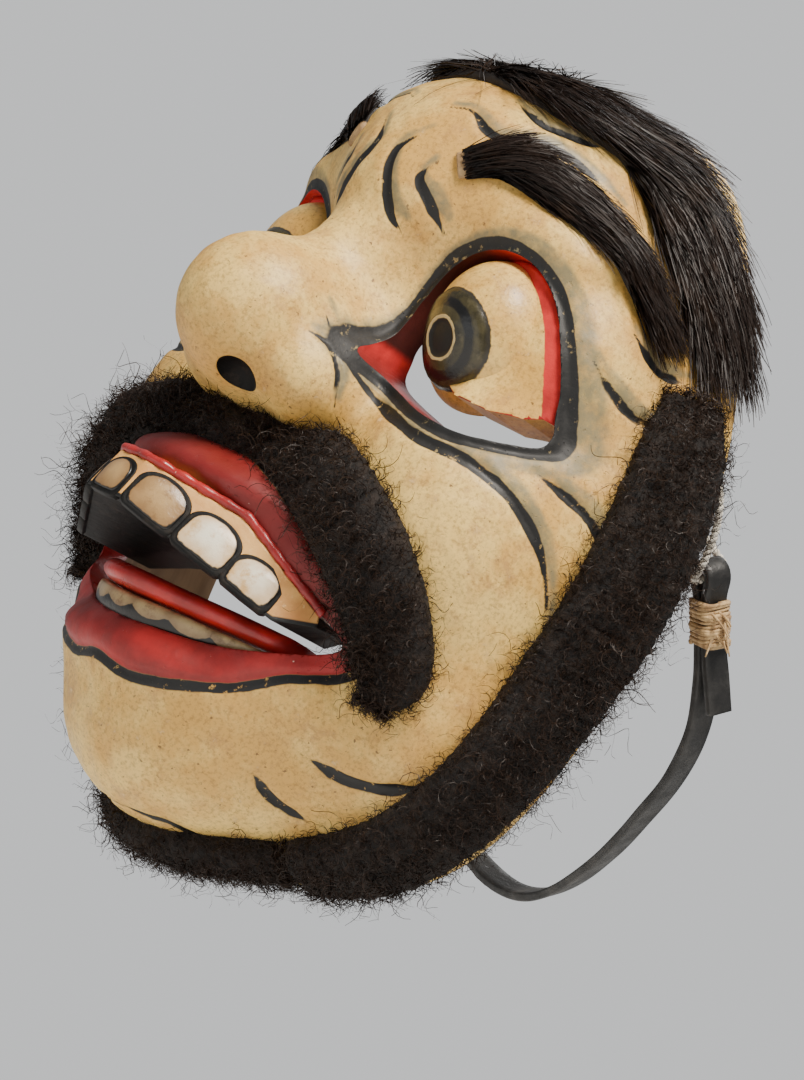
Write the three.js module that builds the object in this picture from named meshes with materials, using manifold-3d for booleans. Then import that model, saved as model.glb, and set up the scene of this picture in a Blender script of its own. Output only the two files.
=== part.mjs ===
// A carved comic theatre mask of painted softwood, with pop eyes, buck teeth, strips of hairy hide for
// the hairline and brows, strips of curly pelt for the moustache and beard, and a rubber head strap.
//
// Millimetres, +Z up. The flat back rim lies in the plane y = 0 and the face looks along -Y. +X is the
// mask's own left side. The origin is the middle of the open back, level with the two tie holes.

import * as THREE from "three";
import { mergeVertices } from "three/addons/utils/BufferGeometryUtils.js";
import Module from "manifold-3d";

const wasm = await Module();
wasm.setup();

// ---------------------------------------------------------------- driving dimensions

const WALL = 6.5; // least thickness of the carved wood
const GLUE_GAP = 0.4; // between pieces that touch
const RIM_BACK = 30; // how far the cutting bodies run out behind the rim

const CENTRE = new THREE.Vector3(0, 0, -48); // every ray of the carved surface starts here
const RINGS = 30; // from the nose to the rim
const INNER_RINGS = 12;
const SPOKES = 72; // round the face

const EYE = { x: 34, y: -41.5, z: -16, wide: 14.5, tall: 17.5, deep: 14, down: 23 }; // half sizes, degrees
const SOCKET_FLOOR = 4.5; // depth of the red recess beside the eyeball
const SOCKET = [[22, -32], [20.3, -25], [20.4, -15], [24.5, -5], [33, 0.8], [42, 1], [50, -5],
  [56, -14.5], [59, -25], [60.5, -33], [53, -38], [43, -38.3], [33, -36], [26, -34]];
const SLIT = [[10, -42], [10, -14], [26, -18], [30, -24], [44, -28], [50, -27], [56, -25], [66, -27], [66, -42]];

const MOUTH = [[-46.5, -88], [-40, -83.5], [-31, -77.5], [-22, -74], [-8, -72.5], [8, -72.5], [22, -74], [31, -77.5],
  [40, -83.5], [46.5, -88], [41, -93], [31, -98], [16, -102], [0, -103.5], [-16, -102], [-31, -98], [-41, -93]];
const GUM_BACK = -47;

const TIE_HOLE = { x: 69, y: -6, z: -18, radius: 2 };
const STRAP_END_X = 73; // half the distance between the two folds of the strap
const STRING_RADIUS = 0.9;
const STRING_DROP = 23; // from the tie hole to the fold of the strap
const HANG = 51.7; // degrees below straight back, the way the strap hangs
const STRAP_WIDTH = 6;
const STRAP_THICK = 2;
const STRAP_TAIL = 14; // folded end, beyond the binding
const FOLD_RADIUS = 2.6; // centreline of the rubber round the string
const BINDING_THICK = 1.4;
const BINDING_LONG = 11;

// ---------------------------------------------------------------- the carved form

// Rounded lumps that melt into each other: name, centre, radii, and the width of the blend in mm.
// A lump with a side offset is carved on both sides of the face.
const LUMPS = [
  { name: "skull", at: [0, -2, -3], size: [54, 54, 54], blend: 1 },
  { name: "face", at: [0, 0, -50], size: [77, 56, 85], blend: 12 },
  { name: "jaw", at: [28, -10, -90], size: [40, 38, 38], blend: 14 },
  { name: "chin", at: [0, -36, -112], size: [34, 27, 27], blend: 16 },
  { name: "forehead", at: [0, -36, 15], size: [36, 29, 25], blend: 12 },
  { name: "cheek", at: [38, -32, -54], size: [28, 26, 33], blend: 12 },
  { name: "muzzle", at: [0, -42, -77], size: [33, 27, 23], blend: 14 },
  { name: "glabella", at: [0, -50, 5], size: [19, 17, 15], blend: 8 },
  { name: "brow", at: [31, -38, 7], size: [21, 14, 9], blend: 11 },
  { name: "eye mound", at: [37, -28, -13], size: [25, 20, 22], blend: 10 },
  { name: "bridge", at: [0, -54, -15], size: [12, 16, 14], blend: 8 },
  { name: "nose root", at: [0, -56, -35], size: [22, 18, 16], blend: 9 },
  { name: "nose", at: [0, -73, -34], size: [17, 19, 17.5], blend: 9 },
  { name: "nostril wing", at: [16, -62, -42], size: [9, 13, 9.5], blend: 7 },
  { name: "upper lip", at: [0, -54, -69], size: [31, 22, 8], blend: 8 },
  { name: "upper lip end", at: [27, -45, -76], size: [18, 14, 8.5], blend: 10 },
  { name: "lower lip", at: [0, -48, -108], size: [31, 21, 10], blend: 8 },
  { name: "lower lip end", at: [27, -40, -99], size: [18, 14, 8.5], blend: 10 },
];
const HOLLOW_LUMPS = LUMPS.filter((lump) => ["skull", "face", "jaw", "chin"].includes(lump.name));

const ellipsoidDistance = (p, at, size) => {
  const q = [p.x - at[0], p.y - at[1], p.z - at[2]];
  const k0 = Math.hypot(q[0] / size[0], q[1] / size[1], q[2] / size[2]);
  const k1 = Math.hypot(q[0] / size[0] ** 2, q[1] / size[1] ** 2, q[2] / size[2] ** 2);
  return (k0 * (k0 - 1)) / Math.max(k1, 1e-9);
};

const smoothMin = (a, b, k) => {
  const h = Math.max(k - Math.abs(a - b), 0) / k;
  return Math.min(a, b) - (h * h * k) / 4;
};

// Distance from the carved surface, negative inside. Both sides are alike, so |x| is enough.
const carvedDistance = (p, lumps) => {
  const q = { x: Math.abs(p.x), y: p.y, z: p.z };
  return lumps.reduce(
    (d, lump) => smoothMin(d, ellipsoidDistance(q, lump.at, lump.size), lump.blend),
    1e3
  );
};

// How far the surface is from CENTRE along a unit direction.
const OUTSIDE = 170;
const reach = (direction, lumps) => {
  const p = new THREE.Vector3();
  let r = OUTSIDE;
  for (let i = 0; i < 60; i++) {
    p.copy(direction).multiplyScalar(r).add(CENTRE);
    const d = carvedDistance(p, lumps);
    if (d < 0.004) break;
    r -= d * 0.75;
  }
  return r;
};

// A direction by its angle from straight ahead and its angle round the face, 0 at +X and 90 degrees at +Z.
const directionOf = (ahead, round) =>
  new THREE.Vector3(Math.sin(ahead) * Math.cos(round), -Math.cos(ahead), Math.sin(ahead) * Math.sin(round));

const onFace = (ahead, round, lift = 0) => {
  const d = directionOf(ahead, round);
  return d.clone().multiplyScalar(reach(d, LUMPS) + lift).add(CENTRE);
};

const inHollow = (ahead, round) => {
  const d = directionOf(ahead, round);
  const r = Math.min(reach(d, HOLLOW_LUMPS) - WALL + 1, reach(d, LUMPS) - WALL);
  return d.multiplyScalar(r).add(CENTRE);
};


// The point of the face on the ray through p, raised by lift, and the way the face looks there.
const faceNear = (p, lift = 0) => {
  const d = p.clone().sub(CENTRE).normalize();
  return d.multiplyScalar(reach(d, LUMPS) + lift).add(CENTRE);
};

const NORMAL_STEP = 0.4;
const faceNormal = (p) => {
  const slope = (axis) => {
    const ahead = p.clone();
    const behind = p.clone();
    ahead[axis] += NORMAL_STEP;
    behind[axis] -= NORMAL_STEP;
    return carvedDistance(ahead, LUMPS) - carvedDistance(behind, LUMPS);
  };
  return new THREE.Vector3(slope("x"), slope("y"), slope("z")).normalize();
};

// ---------------------------------------------------------------- solids from points

const geometryOf = (points, triangles) => {
  const flat = points.flatMap((p) => [p.x, p.y, p.z]);
  return new THREE.BufferGeometry()
    .setAttribute("position", new THREE.Float32BufferAttribute(flat, 3))
    .setIndex(triangles);
};

const solidOf = (geometry) => {
  const bare = geometry.index ? geometry.toNonIndexed() : geometry;
  const position = new THREE.BufferGeometry().setAttribute("position", bare.getAttribute("position"));
  const merged = mergeVertices(position, 1e-4);
  return new wasm.Manifold(
    new wasm.Mesh({
      numProp: 3,
      vertProperties: merged.attributes.position.array,
      triVerts: new Uint32Array(merged.index.array),
    })
  );
};

const geometryFrom = (solid) => {
  const mesh = solid.getMesh();
  return new THREE.BufferGeometry()
    .setAttribute("position", new THREE.BufferAttribute(mesh.vertProperties.slice(), 3))
    .setIndex(new THREE.BufferAttribute(mesh.triVerts.slice(), 1));
};

// A closed skin over rings of points. Each ring has the same number of points; the ends are fans.
const skinOf = (rings) => {
  const points = [];
  const triangles = [];
  const n = rings[1].length;
  const start = rings.map((ring) => {
    const at = points.length;
    points.push(...ring);
    return at;
  });
  for (let i = 0; i + 1 < rings.length; i++) {
    for (let j = 0; j < n; j++) {
      const k = (j + 1) % n;
      const a = start[i] + (rings[i].length === 1 ? 0 : j);
      const b = start[i] + (rings[i].length === 1 ? 0 : k);
      const c = start[i + 1] + (rings[i + 1].length === 1 ? 0 : k);
      const d = start[i + 1] + (rings[i + 1].length === 1 ? 0 : j);
      if (a !== b) triangles.push(a, b, c);
      if (c !== d) triangles.push(a, c, d);
    }
  }
  return geometryOf(points, triangles);
};

// The same skin, turned round if its faces point in.
const closedSolid = (rings) => {
  const made = solidOf(skinOf(rings));
  return made.volume() > 0 ? made : solidOf(skinOf(rings.map((ring) => [...ring].reverse())));
};

const ringAt = (rowPoint, rings, i) => {
  const ahead = (Math.PI / 2) * (i / rings);
  if (i === 0) return [rowPoint(0, 0)];
  return Array.from({ length: SPOKES }, (_, j) => rowPoint(ahead, (2 * Math.PI * j) / SPOKES));
};

// The carved body from its front to the rim plane, grown by lift, with a plug behind it for cutting.
const bodySolid = (lift) => {
  const outer = Array.from({ length: RINGS + 1 }, (_, i) => ringAt((a, b) => onFace(a, b, lift), RINGS, i));
  const back = outer[RINGS].map((p) => new THREE.Vector3(p.x, RIM_BACK, p.z));
  return closedSolid([...outer, back, [new THREE.Vector3(0, RIM_BACK, CENTRE.z)]]);
};

// The open back of the mask as a solid, grown by lift.
const hollowSolid = (lift) => {
  const inner = Array.from({ length: INNER_RINGS + 1 }, (_, i) =>
    ringAt((a, b) => inHollow(a, b).sub(CENTRE).multiplyScalar(1 + lift / 70).add(CENTRE), INNER_RINGS, i)
  );
  const back = inner[INNER_RINGS].map((p) => new THREE.Vector3(p.x, RIM_BACK, p.z));
  return closedSolid([...inner, back, [new THREE.Vector3(0, RIM_BACK, CENTRE.z)]]);
};

// An outline in x and z, cut straight through the mask. A smooth one is rounded between its corners.
const prism = (outline, { smooth = false, shrink = 0, steps = 30 } = {}) => {
  let corners = outline.map(([x, z]) => new THREE.Vector2(x, z));
  if (smooth) {
    const closed = new THREE.CatmullRomCurve3(outline.map(([x, z]) => new THREE.Vector3(x, z, 0)), true);
    corners = closed.getPoints(steps).slice(0, -1).map((p) => new THREE.Vector2(p.x, p.y));
  }
  if (shrink) {
    corners = corners.map((p, i) => {
      const before = corners[(i + corners.length - 1) % corners.length];
      const after = corners[(i + 1) % corners.length];
      const along = after.clone().sub(before).normalize();
      return new THREE.Vector2(p.x + along.y * shrink, p.y - along.x * shrink);
    });
  }
  const shape = new THREE.ExtrudeGeometry(new THREE.Shape(corners), { depth: 130, bevelEnabled: false, steps: 1 });
  return solidOf(shape.rotateX(Math.PI / 2));
};

const mirrored = (solid) => {
  const geometry = geometryFrom(solid);
  geometry.scale(-1, 1, 1);
  const index = geometry.index.array;
  for (let i = 0; i < index.length; i += 3) [index[i], index[i + 1]] = [index[i + 1], index[i]];
  return solidOf(geometry);
};

const group = new THREE.Group();
const add = (name, solid, material) => {
  const mesh = new THREE.Mesh(geometryFrom(solid), material);
  mesh.name = name;
  group.add(mesh);
};

// The same piece on both sides. Left is the mask's own left, at +X.
const addPair = (name, solid, material) => {
  add(`${name}_left`, solid, material);
  add(`${name}_right`, mirrored(solid), material);
};

const finish = (color, roughness) => new THREE.MeshStandardMaterial({ color, roughness, metalness: 0 });
const MATERIALS = {
  skin: finish(0xd8b878, 0.45),
  eyeball: finish(0xdcc286, 0.35),
  gum: finish(0xd89a5a, 0.45),
  tooth: finish(0xf2e8d2, 0.35),
  oldTooth: finish(0xb98a4e, 0.45),
  red: finish(0xa8201c, 0.4),
  hair: finish(0x1c1411, 0.7),
  rubber: finish(0x141414, 0.55),
  cotton: finish(0xd8d2c4, 0.9),
  raffia: finish(0xb08a56, 0.85),
};

// ---------------------------------------------------------------- the wooden face

const hollow = hollowSolid(0);
const outside = bodySolid(GLUE_GAP); // cuts the back of everything laid on the face

const outerRings = Array.from({ length: RINGS + 1 }, (_, i) => ringAt((a, b) => onFace(a, b), RINGS, i));
const innerRings = Array.from({ length: INNER_RINGS + 1 }, (_, i) => ringAt(inHollow, INNER_RINGS, i));
const blank = closedSolid([...outerRings, ...innerRings.reverse()]);

const ellipsoid = (at, size, detail) =>
  solidOf(new THREE.SphereGeometry(1, detail, detail / 2).scale(...size).translate(...at));

const socket = prism(SOCKET, { smooth: true });
const nostril = ellipsoid([9.5, -78, -51], [4.5, 6, 6], 12);
const tieHole = solidOf(
  new THREE.CylinderGeometry(TIE_HOLE.radius, TIE_HOLE.radius, 30, 12)
    .rotateZ(Math.PI / 2)
    .translate(TIE_HOLE.x, TIE_HOLE.y, TIE_HOLE.z)
);

const EYE_TILT = THREE.MathUtils.degToRad(EYE.down);
const eyeball = (grow) =>
  solidOf(
    new THREE.SphereGeometry(1, 24, 16)
      .scale(EYE.wide + grow, EYE.deep + grow, EYE.tall + grow)
      .rotateX(EYE_TILT)
      .translate(EYE.x, EYE.y, EYE.z)
  );

let shell = blank.subtract(prism(MOUTH, { smooth: true, steps: 40 }));
for (const cut of [socket, eyeball(GLUE_GAP), nostril, tieHole]) shell = shell.subtract(cut).subtract(mirrored(cut));
add("mask_shell", shell, MATERIALS.skin);

// ---------------------------------------------------------------- the eyes

const web = prism(SOCKET, { smooth: true, shrink: GLUE_GAP })
  .intersect(bodySolid(-SOCKET_FLOOR))
  .subtract(prism(SLIT));
addPair("eye", eyeball(0).add(web).subtract(hollow), MATERIALS.eyeball);

// ---------------------------------------------------------------- the upper gum and its teeth

// Corners of the gum's face, from the middle of the mouth to its corner: at the cutting edge and at the lip.
const GUM_EDGE = [[6, -86, -83.2], [22, -73, -86.9], [38, -60, -90.6]];
const GUM_LIP = [[5, -83.4, -73.6], [23, -67.6, -74.6], [37, -58.5, -81.8]];
const bothSides = (list) => [...[...list].reverse().map(([x, y, z]) => [-x, y, z]), ...list];
const gumRings = bothSides(GUM_EDGE).map((edge, i) => {
  const lip = bothSides(GUM_LIP)[i];
  const v = (x, y, z) => new THREE.Vector3(x, y, z);
  const backX = lip[0] * 0.93;
  return [v(...edge), v(...lip), v(backX, GUM_BACK, lip[2]), v(backX, GUM_BACK, edge[2] + 2)];
});
const middleOf = (ring) =>
  [ring.reduce((sum, p) => sum.add(p), new THREE.Vector3()).divideScalar(ring.length)];
const capped = (rings) => closedSolid([middleOf(rings[0]), ...rings, middleOf(rings[rings.length - 1])]);
let gum = capped(gumRings);

// A tooth lies in a shallow pocket: a rounded plate on the flat side of the gum.
const TOOTH_THICK = 2;
const TOOTH_SUNK = 1.4;
const edgeStart = new THREE.Vector3(...GUM_EDGE[0]);
const alongEdge = new THREE.Vector3(...GUM_EDGE[2]).sub(edgeStart);
const edgeLong = alongEdge.length();
alongEdge.normalize();
const outOfGum = alongEdge.clone().cross(new THREE.Vector3(...GUM_LIP[1]).sub(edgeStart)).normalize();
const upGum = outOfGum.clone().cross(alongEdge);

const toothShape = (wide, tall, grow) => {
  const half = wide / 2 + grow;
  const top = tall + grow;
  const shoulder = top * 0.55;
  const shape = new THREE.Shape();
  shape.moveTo(-half, 1.6 - grow);
  shape.lineTo(-half * 0.8, 0.7 - grow);
  shape.lineTo(half * 0.8, 0.7 - grow);
  shape.lineTo(half, 1.6 - grow);
  shape.lineTo(half, shoulder);
  shape.bezierCurveTo(half, top, -half, top, -half, shoulder);
  return shape;
};
const toothAt = (along, wide, tall, grow, axes, start) => {
  const depth = TOOTH_THICK + 2 * grow;
  const plate = new THREE.ExtrudeGeometry(toothShape(wide, tall, grow), {
    depth,
    bevelEnabled: false,
    curveSegments: 8,
  });
  plate.translate(along, 0, -TOOTH_SUNK - grow);
  plate.applyMatrix4(new THREE.Matrix4().makeBasis(axes.along, axes.up, axes.out).setPosition(start));
  return solidOf(plate);
};
const sideAxes = { along: alongEdge, up: upGum, out: outOfGum };
const frontAxes = {
  along: new THREE.Vector3(1, 0, 0),
  up: new THREE.Vector3(0, 2.6, 9.6).normalize(),
  out: new THREE.Vector3(0, -9.6, 2.6).normalize(),
};
const frontStart = new THREE.Vector3(0, -86, -83.2);
const TEETH = [
  { name: "upper_front_tooth", wide: 8.6, tall: 9.5, along: 0, finish: "oldTooth" },
  { name: "upper_incisor", wide: 12.2, tall: 11, along: edgeLong * 0.17, finish: "oldTooth" },
  { name: "upper_canine", wide: 12.4, tall: 11.2, along: edgeLong * 0.5, finish: "tooth" },
  { name: "upper_premolar", wide: 11.4, tall: 9.6, along: edgeLong * 0.81, finish: "tooth" },
];
const teethPieces = TEETH.map((tooth, i) => {
  const axes = i === 0 ? frontAxes : sideAxes;
  const start = i === 0 ? frontStart : edgeStart;
  const make = (grow) => toothAt(tooth.along, tooth.wide, tooth.tall, grow, axes, start);
  gum = gum.subtract(make(GLUE_GAP));
  if (i) gum = gum.subtract(mirrored(make(GLUE_GAP)));
  return { ...tooth, solid: make(0) };
});
add("upper_gum", gum, MATERIALS.gum);
for (const [i, tooth] of teethPieces.entries()) {
  if (i === 0) add(tooth.name, tooth.solid, MATERIALS[tooth.finish]);
  else addPair(tooth.name, tooth.solid, MATERIALS[tooth.finish]);
}

// ---------------------------------------------------------------- the lower teeth and the tongue

// A strip from one corner of the mouth to the other, kept inside the mouth's outline. Each station is x and
// the strip's outline there in y and z.
const insideMouth = prism(MOUTH, { smooth: true, steps: 40, shrink: GLUE_GAP });
const mouthStrip = (stations) => {
  const ringOf = ([x, outline], side) => outline.map(([y, z]) => new THREE.Vector3(x * side, y, z));
  const rings = [...[...stations].reverse().map((s) => ringOf(s, -1)), ...stations.map((s) => ringOf(s, 1))];
  return capped(rings).intersect(insideMouth);
};

const teethOutline = (y, top, bottom) => [[y, bottom], [y - 1, top], [y + 4, top + 0.3], [y + 8, bottom]];
add("lower_teeth", mouthStrip([
  [5, teethOutline(-67, -98.9, -103.6)],
  [14, teethOutline(-63.5, -98.3, -102.6)],
  [24, teethOutline(-57, -97.4, -100.6)],
  [30, teethOutline(-52.5, -96.8, -98.4)],
]), MATERIALS.oldTooth);

const tongueOutline = (y, top) => [[y + 1, top - 4], [y, top - 2.4], [y + 1.5, top - 0.5], [y + 6, top],
  [y + 14, top - 0.6], [y + 22, top - 3], [y + 22, top - 5], [y + 7, top - 5]];
add("tongue", mouthStrip([
  [4, tongueOutline(-72, -93)],
  [14, tongueOutline(-66.5, -92.5)],
  [24, tongueOutline(-59, -91.6)],
  [33, tongueOutline(-52, -91)],
]), MATERIALS.red);

// ---------------------------------------------------------------- the head strap and its ties

// The strap hangs in a plane through both tie holes: x across, s down the hang, w square to the plane.
const hang = THREE.MathUtils.degToRad(HANG);
const downHang = new THREE.Vector3(0, Math.cos(hang), -Math.sin(hang));
const acrossHang = new THREE.Vector3(0, Math.sin(hang), Math.cos(hang));
const hung = (x, s, w = 0) =>
  new THREE.Vector3(x, TIE_HOLE.y, TIE_HOLE.z).addScaledVector(downHang, s).addScaledVector(acrossHang, w);

const circle = (centre, u, v, radius, sides) =>
  Array.from({ length: sides }, (_, i) => {
    const a = (2 * Math.PI * i) / sides;
    return centre.clone().addScaledVector(u, radius * Math.cos(a)).addScaledVector(v, radius * Math.sin(a));
  });

// A ring of cord round a closed route.
const closedCord = (route, radius, steps, sides = 8) => {
  const path = new THREE.CatmullRomCurve3(route, true, "centripetal");
  const frames = path.computeFrenetFrames(steps, true);
  const points = [];
  const triangles = [];
  for (let i = 0; i < steps; i++) {
    points.push(...circle(path.getPointAt(i / steps), frames.normals[i], frames.binormals[i], radius, sides));
    for (let j = 0; j < sides; j++) {
      const a = i * sides + j;
      const b = i * sides + ((j + 1) % sides);
      const c = ((i + 1) % steps) * sides + ((j + 1) % sides);
      const d = ((i + 1) % steps) * sides + j;
      triangles.push(a, b, c, a, c, d);
    }
  }
  const made = solidOf(geometryOf(points, triangles));
  if (made.volume() > 0) return made;
  for (let i = 0; i < triangles.length; i += 3) [triangles[i], triangles[i + 1]] = [triangles[i + 1], triangles[i]];
  return solidOf(geometryOf(points, triangles));
};

// Out through the tie hole, down both sides of the wall, and under the fold of the strap.
const TIE_ROUTE = [[69, 0, 0], [74.4, 0.8], [76.4, 5], [77, 13, -2], [76, 20, -5], [73.5, STRING_DROP, -4.8],
  [STRAP_END_X, STRING_DROP + 0.6, 0], [72, STRING_DROP, 4.8], [68.5, 20, 5], [64, 13, 2], [62.2, 6], [63.6, 0.8]]
  .map(([x, s, w]) => hung(x, s, w));
addPair("tie_string", closedCord(TIE_ROUTE, STRING_RADIUS, 34), MATERIALS.cotton);

const LAYER = STRAP_THICK / 2 + 0.3; // from the middle of the binding to each layer of the folded strap
const FOLD = STRING_DROP;
const BINDING_TOP = FOLD + 5;
const BINDING_END = BINDING_TOP + BINDING_LONG;
const foldArc = [180, 135, 90, 45, 0].map((degrees) => {
  const a = THREE.MathUtils.degToRad(degrees);
  return [STRAP_END_X - FOLD_RADIUS * Math.cos(a), FOLD - FOLD_RADIUS * Math.sin(a)];
});
const BOW = [[71.5, 47], [69, 58], [61.5, 71], [50, 84], [36, 98], [20, 110.5], [9, 116], [0, 117.5]];
const HALF_STRAP = [
  [STRAP_END_X + LAYER + 1.6, BINDING_END + STRAP_TAIL],
  [STRAP_END_X + LAYER + 0.8, BINDING_END + STRAP_TAIL / 2],
  [STRAP_END_X + LAYER, BINDING_END],
  [STRAP_END_X + LAYER, BINDING_TOP],
  ...foldArc,
  [STRAP_END_X - LAYER, BINDING_TOP],
  [STRAP_END_X - LAYER, BINDING_END],
  ...BOW,
];
const strapRoute = [...HALF_STRAP, ...[...HALF_STRAP].reverse().slice(1).map(([x, s]) => [-x, s])];
const strapPath = new THREE.CatmullRomCurve3(strapRoute.map(([x, s]) => hung(x, s)), false, "centripetal");
const STRAP_STEPS = (strapRoute.length - 1) * 2;
const strapRings = Array.from({ length: STRAP_STEPS + 1 }, (_, i) => {
  const middle = strapPath.getPoint(i / STRAP_STEPS);
  const along = strapPath.getTangent(i / STRAP_STEPS);
  const through = along.clone().cross(acrossHang).normalize();
  return [[-1, -1], [1, -1], [1, 1], [-1, 1]].map(([u, v]) =>
    middle.clone().addScaledVector(acrossHang, (u * STRAP_WIDTH) / 2).addScaledVector(through, (v * STRAP_THICK) / 2)
  );
});
add("head_strap", capped(strapRings), MATERIALS.rubber);

// Raffia wound round both layers of the folded strap.
const bindingRing = (s, grow) => {
  const halfX = LAYER + STRAP_THICK / 2 + 0.4 + grow;
  const halfW = STRAP_WIDTH / 2 + 0.4 + grow;
  const corner = grow ? 1.2 : 0.3;
  return [[1, 1], [-1, 1], [-1, -1], [1, -1]].flatMap(([u, v]) => {
    const flat = [
      [u * halfX, v * (halfW - corner)],
      [u * (halfX - corner), v * halfW],
    ];
    return (u * v > 0 ? flat : flat.reverse()).map(([x, w]) => hung(STRAP_END_X + x, s, w));
  });
};
const sleeve = (start, end, grow) =>
  capped([start, start + 1, end - 1, end].map((s, i) => bindingRing(s, i === 0 || i === 3 ? grow * 0.55 : grow)));
const winding = sleeve(BINDING_TOP, BINDING_END, BINDING_THICK)
  .subtract(capped([BINDING_TOP - 2, BINDING_END + 2].map((s) => bindingRing(s, 0))));
addPair("strap_binding", winding, MATERIALS.raffia);

// ---------------------------------------------------------------- hides and pelts laid on the face

// A strip laid along stations [x, y, z, width, height]: a rounded band of hair on its skin, its foot sunk
// in the wood and then cut away with a gap.
const SINK = 3;
const pelt = (stations, steps) => {
  const path = new THREE.CatmullRomCurve3(stations.map(([x, y, z]) => new THREE.Vector3(x, y, z)), false, "centripetal");
  const sizes = new THREE.CatmullRomCurve3(stations.map(([, , , wide, high]) => new THREE.Vector3(wide, high, 0)));
  const rings = Array.from({ length: steps + 1 }, (_, i) => {
    const t = i / steps;
    const foot = faceNear(path.getPoint(t));
    const out = faceNormal(foot);
    const side = path.getTangent(t).cross(out).normalize();
    const { x: wide, y: high } = sizes.getPoint(t);
    const at = (u, v) => foot.clone().addScaledVector(side, (u * wide) / 2).addScaledVector(out, v);
    return [at(-0.92, -SINK), at(-1, high * 0.35), at(-0.62, high * 0.86), at(0, high),
      at(0.62, high * 0.86), at(1, high * 0.35), at(0.92, -SINK)];
  });
  return capped(rings);
};
const layOn = (name, solid, material) => add(name, solid.subtract(outside), material);
const layPair = (name, solid, material) => {
  layOn(`${name}_left`, solid, material);
  layOn(`${name}_right`, mirrored(solid), material);
};
const across = (stations) => [...stations, ...[...stations].reverse().slice(1).map(([x, ...more]) => [-x, ...more])];

const HAIRLINE = [[61, -7, 2, 10, 3], [55, -11, 15, 14, 4], [44, -18, 29, 18, 5], [27, -27, 41, 22, 6],
  [14, -41, 44, 25, 6], [0, -44, 45, 26, 6]];
layOn("hair_band", pelt(across(HAIRLINE), 30), MATERIALS.hair);

const BROW = [[19, -62, 14, 6, 3.4], [25, -57, 18, 8, 4], [33, -50, 18, 10, 4.5], [43, -40, 14, 11, 4.5],
  [51, -30, 8, 10, 4], [57, -21, 0, 7, 3]];
layPair("brow", pelt(BROW, 16), MATERIALS.hair);

const MOUSTACHE = [[54, -38, -94, 11, 6], [55, -39, -87, 15, 8], [51, -45, -76, 17, 9], [41, -52, -65, 18, 9],
  [28, -60, -59, 17, 8.5], [14, -66, -57, 16, 8], [0, -66, -57.5, 15, 8]];
layOn("moustache", pelt(across(MOUSTACHE), 36), MATERIALS.hair);

const SIDEBURN = [[65, -12, -9, 15, 6], [69, -12, -20, 20, 9], [72, -12, -38, 22, 10], [73, -12, -60, 22, 10],
  [70, -13, -82, 21, 10], [62, -14, -102, 20, 9], [50, -15, -118, 19, 9], [36, -17, -130, 17, 8]];
// The ties sweep through the back edge of the pelt as the strap swings, so a notch is left for them.
const SWING_UP = 54; // degrees, from the way the strap hangs
const SWING_STEP = 6;
const SWEEP_GAP = 0.9;
const swung = (route, degrees) => {
  const hinge = new THREE.Vector3(TIE_HOLE.x, TIE_HOLE.y, TIE_HOLE.z);
  const turn = THREE.MathUtils.degToRad(degrees);
  return route.map((p) => p.clone().sub(hinge).applyAxisAngle(new THREE.Vector3(1, 0, 0), turn).add(hinge));
};
let tieClearance = closedCord(TIE_ROUTE, STRING_RADIUS + SWEEP_GAP, 30, 6);
for (let degrees = SWING_STEP; degrees <= SWING_UP; degrees += SWING_STEP) {
  tieClearance = tieClearance.add(closedCord(swung(TIE_ROUTE, degrees), STRING_RADIUS + SWEEP_GAP, 30, 6));
}
layPair("sideburn", pelt(SIDEBURN, 26).subtract(tieClearance), MATERIALS.hair);

const CHIN_BEARD = [[30, -19, -132, 15, 7], [14, -26, -137, 17, 8], [0, -28, -138, 18, 8]];
layOn("chin_beard", pelt(across(CHIN_BEARD), 16), MATERIALS.hair);

export default group;
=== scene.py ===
import math

import bmesh
import bpy
import numpy as np
from mathutils import Matrix, Vector


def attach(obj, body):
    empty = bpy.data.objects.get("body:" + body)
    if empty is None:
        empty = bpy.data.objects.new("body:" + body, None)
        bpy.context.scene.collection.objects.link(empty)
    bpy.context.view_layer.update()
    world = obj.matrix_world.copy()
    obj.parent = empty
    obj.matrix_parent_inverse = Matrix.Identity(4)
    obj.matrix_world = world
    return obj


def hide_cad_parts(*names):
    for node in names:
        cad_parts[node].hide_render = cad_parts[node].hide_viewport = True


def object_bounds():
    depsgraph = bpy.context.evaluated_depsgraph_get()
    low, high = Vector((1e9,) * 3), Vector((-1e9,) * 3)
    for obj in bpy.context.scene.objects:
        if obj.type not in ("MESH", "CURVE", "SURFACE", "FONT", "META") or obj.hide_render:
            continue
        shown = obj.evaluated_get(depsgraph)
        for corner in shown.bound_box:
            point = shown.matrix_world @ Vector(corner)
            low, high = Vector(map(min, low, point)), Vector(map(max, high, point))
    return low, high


# A carved and painted comic theatre mask with hide brows, pelt beard and rubber head strap.
# Lengths are in millimetres until a mesh is made; the scene is in metres, +Z up, the face along -Y.

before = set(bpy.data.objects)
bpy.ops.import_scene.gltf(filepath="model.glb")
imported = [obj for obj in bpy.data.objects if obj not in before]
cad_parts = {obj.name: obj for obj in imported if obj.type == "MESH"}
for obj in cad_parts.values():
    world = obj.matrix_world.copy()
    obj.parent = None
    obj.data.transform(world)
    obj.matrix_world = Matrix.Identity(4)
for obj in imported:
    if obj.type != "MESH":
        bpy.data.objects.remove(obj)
cad_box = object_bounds()
rng = np.random.default_rng(7)
MM = 0.001

# ---------------------------------------------------------------- driving dimensions
# The CAD's where it has them, but for SLIT and LID_DEPTH.

WALL = 6.5
CENTRE = np.array([0, 0, -48.0])  # the face is worked out along rays from here
OUTSIDE = 170  # radius about CENTRE that is clear of the whole face
SINK = 3  # how far a hide's edge reaches into the wood
SIDES = (("_left", 1), ("_right", -1))  # end of the name, and the sign of x
MIDDLE = (("", 1),)  # the same for a piece there is one of

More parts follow.
